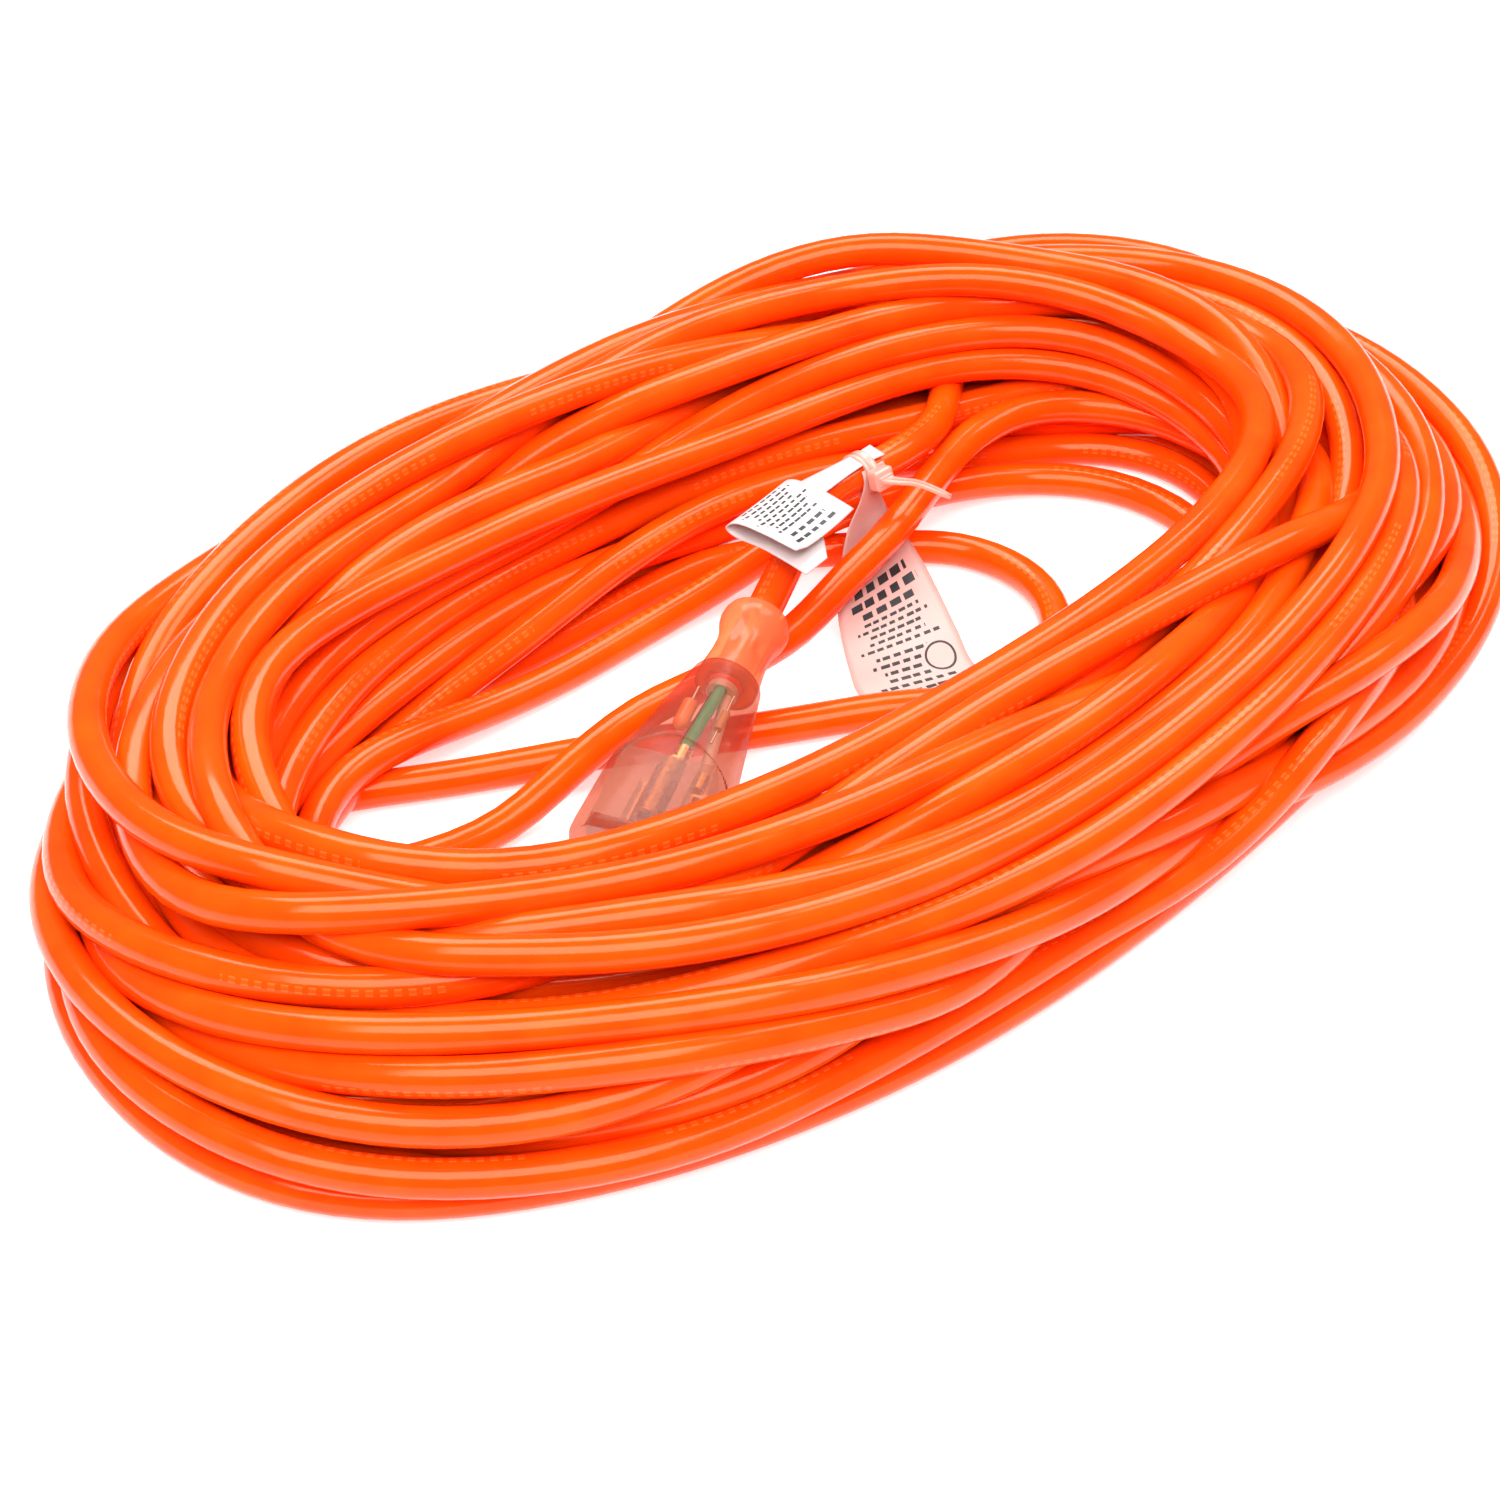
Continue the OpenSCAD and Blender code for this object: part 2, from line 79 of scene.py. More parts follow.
# --- routes, as in the CAD
D = 9.5                     # the cord's diameter
R = D / 2

LEAD = [(-27, -1, 23), (-15, 5, 25), (-4, 11, 26), (8, 17.4, 27.6), (20, 24.2, 29), (30, 30, 29.8),
        (39, 34, 30), (47, 35.8, 30), (56, 36, 30), (70, 36, 30), (84, 39, 29), (97, 46, 27),
        (112, 58, 25)]
INNER = [(-132, 20.5, 6), (-112, 15, 5), (-90, 11, 6), (-68, 11, 12), (-45, 12, 15.5),
         (-24, 12, 14), (-5, 13, 12), (12, 14, 12), (32, 17, 16), (52, 21, 19), (71, 27, 21),
         (90, 34, 21.5), (104, 37, 21.5), (119, 36.5, 21), (133, 30.5, 20), (145, 19.5, 18.5),
         (152, 4, 17)]
FLOOR = [(-122, 52, 5), (-104, 43, 5), (-88, 34, 5), (-68, 24, 5), (-48, 14, 5), (-28, 2, 5),
         (-8, -9, 5), (12, -21, 6), (26, -30.5, 6), (40.5, -36.5, 6), (56.5, -35, 6), (70, -27, 6),
         (78.5, -14, 6), (80.5, 1.5, 5.5), (76, 16, 5), (67, 26, 5), (55, 35.5, 5), (42, 45, 5)]
PLUG_RUN = [(-126, -54.5, 5), (-107, -60.5, 5), (-91, -58.8, 6.2), (-75, -54.5, 9.5),
            (-60, -50.5, 12.6), (-46, -50.5, 12.6), (-33, -50.5, 12.6)]
# The last strand comes down the inner side of the front and round the foot of the opening.
DESCENT = [(-20, -73.5, 34), (0, -73.5, 29), (20, -72, 23), (40, -69.5, 17), (60, -66, 11.5),
           (80, -61.5, 7)]
ALONG_BACK = [(78, 38, 11), (59, 41, 14.6), (40, 44, 13), (20, 46, 9), (0, 47, 6.5),
              (-20, 47.5, 5.3), (-40, 47.5, 5), (-60, 47.5, 6.5), (-80, 47, 10)]
UNDER_BACK = [(28, 54, 5), (12, 62, 5)]


def arc(centre, radius, start, stop, heights):
    a = np.radians(np.linspace(start, stop, len(heights)))
    return np.c_[centre[0] + radius * np.cos(a), centre[1] + radius * np.sin(a), heights]


def distance_along(P):
    return np.r_[0, np.cumsum(norm(np.diff(P, axis=0), axis=1))]


# --- how the cord is wound
# Each layer's nearest and farthest centre line from the middle, where the winding crosses the axes.
LAYERS = {
    0: [(148, 206), (146, 208), (147, 206), (149, 203), (152, 198), (155, 190), (158, 180)],
    90: [(57, 115), (55, 117), (58, 114), (66, 110), (71, 105), (76, 98), (80, 92)],
    180: [(152, 208), (150, 210), (146, 206), (141, 198), (148, 190), (153, 180), (158, 172)],
    270: [(71, 114), (70, 117), (69, 117), (67, 114), (67, 108), (67, 98), (68, 88)],
}
SLOTS = [6, 6, 6, 5, 5, 4, 3]       # strands side by side in each layer
FIRST_TURNS, LAST_TURNS = 9, 25     # turns before and after the loose loop on the floor
INNER_TURN = 4                      # the turn that cuts across the opening
FIRST_PART = 14.0                   # how far up the pile the first part reaches, of 31
T_LEAD, T_FLOOR, T_BACK, T_PLUG = 44.2, 141.0, 67.4, 221.1
SUBS = 4                            # dense points to a control point


def plan(noise=0.12):
    """The radius of both parts of the winding each time that they cross an axis."""
    rng = np.random.default_rng(SEED)
    parts = {"first": (T_FLOOR, T_LEAD + 360 * FIRST_TURNS, FIRST_PART),
             "last": (T_BACK, T_PLUG + 360 * LAST_TURNS, 31.0)}
    events = []
    for name, (a, b, top) in parts.items():
        t = math.ceil(a / 90) * 90
        while t <= b:
            events.append((top * (t - a) / (b - a), name, float(t)))
            t += 90
    events.sort()
    level, free = [0] * 4, [None] * 4
    now = {"first": 0.3, "last": 0.6}
    radius = {"first": {}, "last": {}}
    for _, name, t in events:
        q = int(round(t / 90)) % 4
        if not free[q]:
            if free[q] is not None:
                level[q] = min(level[q] + 1, len(SLOTS) - 1)
            n = SLOTS[level[q]]
            free[q] = [min((k + 0.25 + 0.5 * (level[q] % 2)) / n, 1.0) for k in range(n)]
        want = min(max(now[name] + rng.normal(0, noise), -0.1), 1.1)
        f = free[q].pop(int(np.argmin([abs(x - want) for x in free[q]])))
        low, high = LAYERS[q * 90][level[q]]
        radius[name][t] = low + f * (high - low)
        now[name] = f
    return parts, radius


def smooth_through(x, y, xq):
    x, y = np.asarray(x, float), np.asarray(y, float)
    h = np.diff(x)
    d = np.diff(y) / h
    m = np.r_[d[0], 0.5 * (d[1:] + d[:-1]), d[-1]] * 0.6
    i = np.clip(np.searchsorted(x, xq) - 1, 0, len(h) - 1)
    s = (xq - x[i]) / h[i]
    return ((2 * s**3 - 3 * s**2 + 1) * y[i] + (s**3 - 2 * s**2 + s) * h[i] * m[i]
            + (-2 * s**3 + 3 * s**2) * y[i + 1] + (s**3 - s**2) * h[i] * m[i + 1])


def rounded_power(v, p):
    return (np.sign(v) * ((v * v + 0.004) ** (p / 2) - 0.004 ** (p / 2))
            / (1.004 ** (p / 2) - 0.004 ** (p / 2)))


def strand(part, radius, given):
    """The plan of one part of the winding, turn after turn."""
    a, b, top = part
    t = np.arange(a, b, 2.0)
    r = dict(radius)
    r.update(given)
    axes = []
    for odd in (0, 1):
        q = [s for s in sorted(r) if int(round(s / 90)) % 2 == odd]
        axes.append(smooth_through([q[0] - 180] + q + [q[-1] + 180],
                                   [r[q[0]]] + [r[s] for s in q] + [r[q[-1]]], t))
    front_right = np.clip(np.cos(np.radians(t - 315)), 0, 1) ** 2
    p = 0.80 - 0.10 * front_right
    c, s = np.cos(np.radians(t)), np.sin(np.radians(t))
    return t, np.c_[axes[0] * rounded_power(c, p), axes[1] * rounded_power(s, p)], top * (t - a) / (b - a)


def sections():
    """The whole cord in order: (points, when each is laid, whether its heights are given)."""
    parts, radius = plan()
    nf, nl = FIRST_TURNS, LAST_TURNS
    given_f = {180.0: 194.0, 360.0 * INNER_TURN: 153.0, 180.0 + 360 * INNER_TURN: 184.0,
               360.0 * nf: 186.0}
    given_l = {90.0: 74.0, 180.0 + 360 * (nl - 1): 172.0, 270.0 + 360 * (nl - 1): 74.0}
    tf, pf, wf = strand(parts["first"], radius["first"], given_f)
    tl, pl, wl = strand(parts["last"], radius["last"], given_l)
    upper = (tf < 360 * nf - 10) & (tf > 180 + 360 * INNER_TURN + 16)
    lower = (tf < 360 * INNER_TURN - 12) & (tf >= 186)
    last = (tl > 93) & (tl < 360 * nl - 102)
    right = arc((86, -12), 48, -75, 75, [5, 5, 5, 5, 5, 5, 7])
    left = arc((-98, -4), 50, 90, 184, [13.5, 15, 15.4, 15.4, 14.5, 12])
    front_left = arc((-103, -16), 45, 196, 216, [8.5, 5.8])
    inner = np.array(INNER, float)
    return [
        (np.vstack([LEAD, arc((139.7, 22.5), 45, 104, 12, [25] * 4)]), FIRST_PART, True),
        (pf[upper][::-1], wf[upper][::-1], False),
        (np.vstack([arc((-145, -17), 38, 170, 92, [5.3] * 4), inner[:3]]), -1.0, True),
        (inner[3:], 6.0, True),
        (pf[lower][::-1], wf[lower][::-1], False),
        (arc((-143, 8), 48, 176, 84, [5] * 5), -1.0, True),
        (np.vstack([FLOOR, UNDER_BACK]), -1.0, True),
        (pl[last], wl[last], False),
        (np.vstack([DESCENT, right, ALONG_BACK, left, front_left]), 0.5, True),
        (np.array(PLUG_RUN, float), -1.0, True),
    ]


def catmull(P, n):
    P = np.vstack([2 * P[0] - P[1], P, 2 * P[-1] - P[-2]])
    t = (np.arange(n) / n)[:, None]
    out = []
    for a, b, c, d in zip(P[:-3], P[1:-2], P[2:-1], P[3:]):
        out.append(0.5 * (2 * b + (c - a) * t + (2 * a - 5 * b + 4 * c - d) * t**2
                          + (3 * b - 3 * c + d - a) * t**3))
    return np.vstack(out + [P[-2][None]])


def drop(plan_xy, z, when, s):
    """Heights of a dense line whose strands are dropped, in order, on those laid before them."""
    done = ~np.isnan(z)
    chunk = SUBS * 4
    order = sorted((when[i:i + chunk].mean(), i) for i in range(0, len(z), chunk))
    for w, i in order:
        ii = np.arange(i, min(i + chunk, len(z)))
        ii = ii[np.isnan(z[ii])]
        if not len(ii):
            continue
        jj = np.nonzero(done & (when <= w + 0.01))[0]
        top = np.full(len(ii), R)
        if len(jj):
            d = norm(plan_xy[ii][:, None] - plan_xy[jj][None], axis=2)
            far = np.abs(s[ii][:, None] - s[jj][None]) > 40
            on = np.where((d < D) & far, z[jj][None] + np.sqrt(np.maximum(D * D - d * d, 0)), R)
            top = np.maximum(top, on.max(1))
        z[ii] = top
        done[ii] = True
    return z


def ease_heights(z, s, loose):
    """Long humps where a strand passes over another, and long ways down to the held stretches."""
    humped = z.copy()
    for k in range(-24, 25):
        j = np.clip(np.arange(len(z)) + k, 0, len(z) - 1)
        humped = np.where(loose & loose[j], np.maximum(humped, z[j] - (s - s[j]) ** 2 / 400.0), humped)
    z = np.where(loose, humped, z)
    g, f = np.nonzero(loose)[0], np.nonzero(~loose)[0]
    near = f[np.argmin(np.abs(s[g][:, None] - s[f][None]), axis=1)]
    w = np.clip(np.abs(s[g] - s[near]) / 150, 0, 1)
    w = w * w * (3 - 2 * w)
    z[g] = z[near] * (1 - w) + z[g] * w
    return z


def lay_down():
    """Control points of the cord with each strand on those laid before it, and which are held."""
    XY, Z, when, held = [], [], [], []
    for P, w, fixed in sections():
        XY.append(P[:, :2])
        Z.append(P[:, 2] if fixed else np.full(len(P), np.nan))
        when.append(np.full(len(P), w) if fixed else w)
        held.append(np.full(len(P), fixed))
    XY, Z, when, held = np.vstack(XY), np.concatenate(Z), np.concatenate(when), np.concatenate(held)
    keep = [0]
    for i in range(1, len(XY)):
        if held[i] or (norm(XY[i] - XY[keep[-1]]) > 18 and not (i + 1 < len(XY) and held[i + 1])):
            keep.append(i)
    XY, Z, when, held = XY[keep], Z[keep], when[keep], held[keep]
    n = len(XY)
    plan_xy = catmull(np.c_[XY, np.zeros(n)], SUBS)[:, :2]
    index = np.arange(len(plan_xy)) / SUBS
    when = np.interp(index, np.arange(n), when)
    a = np.floor(index).astype(int)
    b = np.minimum(a + 1, n - 1)
    z = np.where(held[a] & held[b], Z[a] + (Z[b] - Z[a]) * (index - a), np.nan)
    loose = np.isnan(z)
    s = distance_along(plan_xy)
    z = ease_heights(drop(plan_xy, z, when, s), s, loose)
    return np.c_[plan_xy, z][::SUBS], held


class Spline:
    """A cubic B-spline over the control points, and the way back from its points to them."""

    def __init__(self, n, subs):
        m = (n - 1) * subs + 1
        i, k = np.arange(m) // subs, np.arange(m) % subs
        u = k / subs
        self.n = n
        self.index = np.clip(i[:, None] + np.arange(-1, 3)[None], 0, n - 1)
        self.weight = np.c_[(1 - u) ** 3 / 6, (3 * u**3 - 6 * u**2 + 4) / 6,
                            (-3 * u**3 + 3 * u**2 + 3 * u + 1) / 6, u**3 / 6]

    def points(self, C):
        return (C[self.index] * self.weight[:, :, None]).sum(1)

    def back(self, V):
        out = np.zeros((self.n, V.shape[1]))
        for a in range(4):
            for k in range(V.shape[1]):
                out[:, k] += np.bincount(self.index[:, a], self.weight[:, a] * V[:, k], self.n)
        return out


def near_pairs(P, s, cut, gap):
    """Pairs of points nearer than cut whose stretch of cord between is longer than gap."""
    cell = np.floor(P / cut).astype(np.int64)
    cell -= cell.min(0) - 1
    _, ny, nz = cell.max(0) + 2
    key = (cell[:, 0] * ny + cell[:, 1]) * nz + cell[:, 2]
    order = np.argsort(key, kind="stable")
    ordered = key[order]
    found = []
    for dx in (-1, 0, 1):
        for dy in (-1, 0, 1):
            for dz in (-1, 0, 1):
                step = (dx * ny + dy) * nz + dz
                if step < 0:
                    continue
                a = np.searchsorted(ordered, key + step, "left")
                c = np.searchsorted(ordered, key + step, "right") - a
                if not c.sum():
                    continue
                i = np.repeat(np.arange(len(P)), c)
                j = order[np.repeat(a, c) + np.arange(len(i)) - np.repeat(np.cumsum(c) - c, c)]
                if step == 0:
                    i, j = i[i < j], j[i < j]
                found.append(np.c_[i, j])
    pairs = np.vstack(found)
    pairs = pairs[np.abs(s[pairs[:, 0]] - s[pairs[:, 1]]) > gap]
    d = P[pairs[:, 0]] - P[pairs[:, 1]]
    return pairs[(d * d).sum(1) < cut * cut]


OUTLINE_X, OUTLINE_Y = 210.3, 118.5     # the farthest that a centre line lies from the middle
LEFT_EDGE, RIGHT_EDGE = 155.0, 150.0    # and the nearest, round the opening
FRONT_EDGE, BACK_EDGE, BACK_LEAN = 66.0, 50.0, 0.55
# The plug and the connector, which loose strands keep clear of: (start, end, radius).
MOULDINGS = [(np.array([-60.0, -50.5, 12.6]), np.array([26.0, -50.5, 12.6]), 14.5),
             (np.array([0.0, 13.0, 26.0]), np.array([-83.0, -31.0, 16.0]), 18.0)]


def bends(C):
    """How far each control point is from the middle of its neighbours, as a second difference."""
    out = np.zeros_like(C)
    out[1:-1] = C[2:] - 2 * C[1:-1] + C[:-2]
    return out


def stiffen(C, free, bend):
    for _ in range(2):
        L = bends(C)
        B = np.zeros_like(C)
        B[2:-2] = L[3:-1] - 2 * L[2:-2] + L[1:-3]
        C -= bend * B / 16 * 1.9 * free


def open_tight_bends(C, free, tight):
    L = bends(C)
    h = norm(C[2:] - C[:-2], axis=1) / 2
    curve = np.zeros(len(C))
    curve[1:-1] = norm(L[1:-1], axis=1) / np.maximum(h, 1e-6) ** 2
    over = np.clip(1 - 1 / (np.maximum(curve, 1e-9) * tight), 0, 1)[:, None] * L
    C += 0.45 * over * free
    C[1:] -= 0.225 * over[:-1] * free[1:]
    C[:-1] -= 0.225 * over[1:] * free[:-1]


def keep_lengths(C, free, rest):
    for odd in (0, 1):
        m = min(len(C[odd:-1:2]), len(C[odd + 1::2]))
        d = C[odd + 1::2][:m] - C[odd:-1:2][:m]
        l = norm(d, axis=1)
        fa, fb = free[odd:-1:2][:m], free[odd + 1::2][:m]
        w = np.maximum(fa + fb, 1e-9)
        c = (0.6 * (l - rest[odd::2][:m]) / np.maximum(l, 1e-9))[:, None] * d
        C[odd:-1:2][:m] += c * fa / w
        C[odd + 1::2][:m] -= c * fb / w


def push_apart(P, pairs, gap):
    """Moves for points nearer than gap to another strand, and how many each point gets."""
    i, j = pairs[:, 0], pairs[:, 1]
    d = P[i] - P[j]
    l = norm(d, axis=1)
    m = l < gap
    i, j, d, l = i[m], j[m], d[m], l[m]
    c = (0.5 * (gap - l) / np.maximum(l, 1e-9))[:, None] * d
    push = np.zeros_like(P)
    for k in range(3):
        push[:, k] = np.bincount(i, c[:, k], len(P)) - np.bincount(j, c[:, k], len(P))
    return push, (np.bincount(i, minlength=len(P)) + np.bincount(j, minlength=len(P))).astype(float)


def keep_inside(P, push, top):
    """Moves back into the pile's outline, which is squarer at its front right, and under its top."""
    x, y, z = P[:, 0] / OUTLINE_X, P[:, 1] / OUTLINE_Y, P[:, 2]
    w = np.clip((x - y) / np.maximum(np.hypot(x, y), 1e-6) / 1.4142, 0, 1) ** 3
    e = 2.5 + 0.9 * w
    q = (np.abs(x) ** e + np.abs(y) ** e) ** (1 / e)
    inward = np.where(q > 1, 0.35 * (1 / np.maximum(q, 1e-9) - 1), 0)
    push[:, 0] += P[:, 0] * inward
    push[:, 1] += P[:, 1] * inward
    push[:, 2] -= np.where(z > top, np.minimum(0.25 * (z - top), 1.0), 0)


def keep_out_of_opening(P, push, count, loose):
    """Moves back off the opening, whose side leans back at the back."""
    x, y = P[:, 0], P[:, 1]
    half_x = np.where(x < 0, LEFT_EDGE, RIGHT_EDGE)
    half_y = np.where(y < 0, FRONT_EDGE, BACK_EDGE + BACK_LEAN * P[:, 2])
    q = ((np.abs(x) / half_x) ** 2.5 + (np.abs(y) / half_y) ** 2.5) ** 0.4
    outward = np.where((q < 1) & loose, 0.5 * (1 / np.maximum(q, 0.5) - 1), 0)
    push[:, 0] += P[:, 0] * outward
    push[:, 1] += P[:, 1] * outward
    count += (q < 1) & loose


def keep_off_mouldings(P, push, count, loose):
    for a, b, r in MOULDINGS:
        u = np.clip(((P - a) @ (b - a)) / ((b - a) @ (b - a)), 0, 1)
        v = P - (a + u[:, None] * (b - a))
        far = norm(v, axis=1)
        inside = (far < r + R) & loose
        push += np.where(inside, (r + R - far) / np.maximum(far, 1e-6), 0)[:, None] * v
        count += inside


def settle(start, held, steps=500, weight=0.35, bend=0.6, gap=9.4, shake=0.15, tight=48.0, top=53.0):
    """Lets the cord fall, bend and push against itself until its strands lie on each other."""
    n = len(start)
    spline = Spline(n, SUBS)
    A = (np.diag(np.full(n, 4 / 6.0)) + np.diag(np.full(n - 1, 1 / 6.0), 1)
         + np.diag(np.full(n - 1, 1 / 6.0), -1))
    A[0, 0] = A[-1, -1] = 5 / 6.0
    C = np.linalg.solve(A, start)       # control points of a spline that passes through start
    free = (~held)[:, None].astype(float)
    loose = spline.points(np.repeat(free, 3, 1))[:, 0] > 0.9
    rest = norm(np.diff(start, axis=0), axis=1)
    rng = np.random.default_rng(1)
    s = distance_along(spline.points(C))
    for step in range(steps):
        f = step / steps
        if step % 6 == 0:
            pairs = near_pairs(spline.points(C), s, gap + 4.5, 34.0)
        C[:, 2] -= (weight * (1 - f) if f < 0.8 else 0.02) * free[:, 0]
        if f < 0.5:
            C += rng.normal(0, shake, C.shape) * free * (1 - 2 * f)
        stiffen(C, free, bend)
        open_tight_bends(C, free, tight)
        keep_lengths(C, free, rest)
        for _ in range(3):
            P = spline.points(C)
            push, count = push_apart(P, pairs, gap)
            sunk = P[:, 2] < R
            push[:, 2] += np.where(sunk, R - P[:, 2], 0)
            count += sunk
            keep_inside(P, push, top)
            keep_out_of_opening(P, push, count, loose)
            keep_off_mouldings(P, push, count, loose)
            C += free * 1.25 * spline.back(push) / np.maximum(spline.back(count[:, None]), 0.35)
    return C


def cord_line():
    start, held = lay_down()
    C = settle(start, held)
    line = Spline(len(C), 3).points(C)
    line[:, 2] = np.maximum(line[:, 2], R)
    return line


# --- meshes
def new_mesh(name, points, faces):
    """An object from points in millimetres."""
    mesh = bpy.data.meshes.new(name)
    mesh.from_pydata([tuple(p) for p in np.asarray(points) * MM], [], [tuple(f) for f in faces])
    mesh.shade_smooth()
    mesh.update()
    obj = bpy.data.objects.new(name, mesh)
    scene.collection.objects.link(obj)
    return obj


def ring_faces(rings, sides):
    faces = []
    for i in range(rings - 1):
        for k in range(sides):
            a, b = i * sides + k, i * sides + (k + 1) % sides
            faces.append((a, b, b + sides, a + sides))
    return faces + [tuple(range(sides))[::-1], tuple((rings - 1) * sides + k for k in range(sides))]


def frames(P):
    """Directions along a line and a side that doesn't twist."""
    T = np.gradient(P, axis=0)
    T /= norm(T, axis=1)[:, None]
    side = np.cross(T[0], (0, 0, 1.0))
    sides = []
    for t in T:
        side = side - (side @ t) * t
        side = side / norm(side)
        sides.append(side)
    return T, np.array(sides)


def tube(name, P, radius, sides):
    P = np.asarray(P, float)
    T, S = frames(P)
    U = np.cross(S, T)
    a = 2 * np.pi * np.arange(sides) / sides
    c, s = np.cos(a)[None, :, None], np.sin(a)[None, :, None]
    V = P[:, None] + radius * (c * S[:, None] + s * U[:, None])
    obj = new_mesh(name, V.reshape(-1, 3), ring_faces(len(P), sides))
    along = distance_along(P) * MM
    uv = obj.data.uv_layers.new(name="jacket")
    quads = (len(P) - 1) * sides
    i, k = np.divmod(np.arange(quads), sides)
    u = np.stack([along[i], along[i], along[i + 1], along[i + 1]], 1)
    v = np.stack([k, k + 1, k + 1, k], 1) / sides
    co = np.zeros((len(obj.data.loops), 2), np.float32)
    co[:quads * 4, 0], co[:quads * 4, 1] = u.ravel(), v.ravel()
    uv.data.foreach_set("uv", co.ravel())
    return obj


# --- materials
def material(name, build):
    mat = bpy.data.materials.new(name)
    mat.use_nodes = True
    tree = mat.node_tree
    tree.nodes.clear()
    out = tree.nodes.new("ShaderNodeOutputMaterial")
    tree.links.new(build(tree), out.inputs[0])
    return mat


def fill(tree, made, sockets):
    """Puts on each socket its constant, or a link to the output that it is given."""
    for socket, x in sockets:
        if isinstance(x, (int, float, tuple)):
            made.inputs[socket].default_value = x
        elif x is not None:
            tree.links.new(x, made.inputs[socket])
    return made


def node(tree, kind, **values):
    return fill(tree, tree.nodes.new(kind), [(k.replace("_", " "), x) for k, x in values.items()])


def calc(tree, operation, a, b=None):
    made = tree.nodes.new("ShaderNodeMath")
    made.operation = operation
    return fill(tree, made, ((0, a), (1, b))).outputs[0]


def times(tree, a, b):
    return calc(tree, "MULTIPLY", a, b)


def plus(tree, a, b):
    return calc(tree, "ADD", a, b)


def minus(tree, a, b):
    return calc(tree, "SUBTRACT", a, b)


def less(tree, a, b):
    return calc(tree, "LESS_THAN", a, b)


def fract(tree, a):
    return calc(tree, "FRACT", a)


def close_to(tree, a, b, reach):
    made = calc(tree, "COMPARE", a, b)
    made.node.inputs[2].default_value = reach
    return made


def mix_shader(tree, factor, a, b):
    made = tree.nodes.new("ShaderNodeMixShader")
    return fill(tree, made, ((0, factor), (1, a), (2, b))).outputs[0]


def uv_parts(tree, name):
    uv = tree.nodes.new("ShaderNodeUVMap")
    uv.uv_map = name
    return node(tree, "ShaderNodeSeparateXYZ", Vector=uv.outputs[0]).outputs[:2]


def mixed(tree, factor, a, b):
    made = tree.nodes.new("ShaderNodeMix")
    made.data_type = "RGBA"
    return fill(tree, made, ((0, factor), (6, a), (7, b))).outputs[2]


def noise(tree, scale, detail=3.0, rough=0.5):
    place = node(tree, "ShaderNodeTexCoord").outputs["Object"]
    return node(tree, "ShaderNodeTexNoise", Vector=place, Scale=scale, Detail=detail,
                Roughness=rough).outputs["Fac"]


def bump(tree, height, strength, distance, under=None):
    return node(tree, "ShaderNodeBump", Height=height, Strength=strength, Distance=distance,
                Normal=under).outputs[0]


def principled(tree, **values):
    return node(tree, "ShaderNodeBsdfPrincipled", **values).outputs[0]


def jacket_material():
    """Glossy orange PVC with a slight mottle, faint ripples of the cores, and shallow embossed marks whose
    edges carry a painted highlight.
    """
    def build(tree):
        along, around = uv_parts(tree, "jacket")
        blotch = noise(tree, 55.0, 3.0, 0.55)
        colour = mixed(tree, blotch, (0.93, 0.040, 0.0006, 1), (0.98, 0.100, 0.0020, 1))
        # embossed dashes: a line of short upright and flat strokes that repeats, and reads as nothing
        cell = fract(tree, times(tree, along, 330.0))
        word = fract(tree, times(tree, along, 12.5))
        stroke = times(tree, calc(tree, "GREATER_THAN", cell, 0.25), less(tree, cell, 0.8))
        # the marks run slowly round the jacket
        around = fract(tree, plus(tree, around, times(tree, along, 0.37)))
        # the mark is strongest at its two edges and weaker in its middle: a hollow for the bump, and lit
        # edges as painted highlight
        hollow_and_painted_edge_light = minus(tree, close_to(tree, around, 0.30, 0.028),
                       times(tree, close_to(tree, around, 0.30, 0.014), 0.7))
        emboss_and_painted_highlight = times(tree, times(tree, stroke, less(tree, word, 0.62)), hollow_and_painted_edge_light)
        # painted highlight: the embossed marks are also coloured a lighter orange, where the relief would
        # catch the light
        colour = mixed(tree, times(tree, emboss_and_painted_highlight, 0.55), colour, (1.0, 0.20, 0.035, 1))
        n1 = bump(tree, noise(tree, 16.0, 1.0, 0.4), 0.5, 0.006)
        n2 = bump(tree, emboss_and_painted_highlight, 1.0, 0.0008, n1)
        n3 = bump(tree, noise(tree, 900.0, 2.0, 0.5), 0.06, 0.0002, n2)
        rough = plus(tree, times(tree, blotch, 0.12), 0.09)
        return principled(tree, Base_Color=colour, Roughness=rough, Normal=n3,
                          Specular_IOR_Level=0.6, Specular_Tint=(1.0, 0.46, 0.30, 1))
    return material("jacket_orange", build)


# --- the cord
LINE = cord_line()
cord = tube("cord", LINE, R, 16)
cord.data.materials.append(jacket_material())
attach(cord, "cord")
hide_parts("cord_coil", "connector_lead", "inner_turn", "floor_loop", "plug_lead")


# --- shapes shared by the pieces
def turned(yaw, dip):
    cy, sy, cd, sd = (f(math.radians(v)) for v in (yaw, dip) for f in (math.cos, math.sin))
    return np.array([[cy * cd, -sy, cy * sd], [sy * cd, cy, sy * sd], [-sd, 0, cd]])


CONN_AT, CONN_TURN = np.array([-4.0, 11.0, 26.0]), turned(208, 6.5)
PLUG_AT, PLUG_TURN = np.array([-60.0, -50.5, 12.6]), np.eye(3)
TIE_AT = np.array([56.0, 36.0, 30.0])


def placed(P, at, turn):
    return np.asarray(P, float) @ turn.T + at


def eased(x, a, b):
    u = np.clip((x - a) / (b - a), 0, 1)
    return u * u * (3 - 2 * u)


def grid_faces(rows, cols, wrap_rows=False):
    faces = []
    for i in range(rows if wrap_rows else rows - 1):
        for k in range(cols):
            a, b = i * cols + k, i * cols + (k + 1) % cols
            n = cols if i + 1 < rows else cols - rows * cols
            faces.append((a, a + n, b + n, b))
    return faces


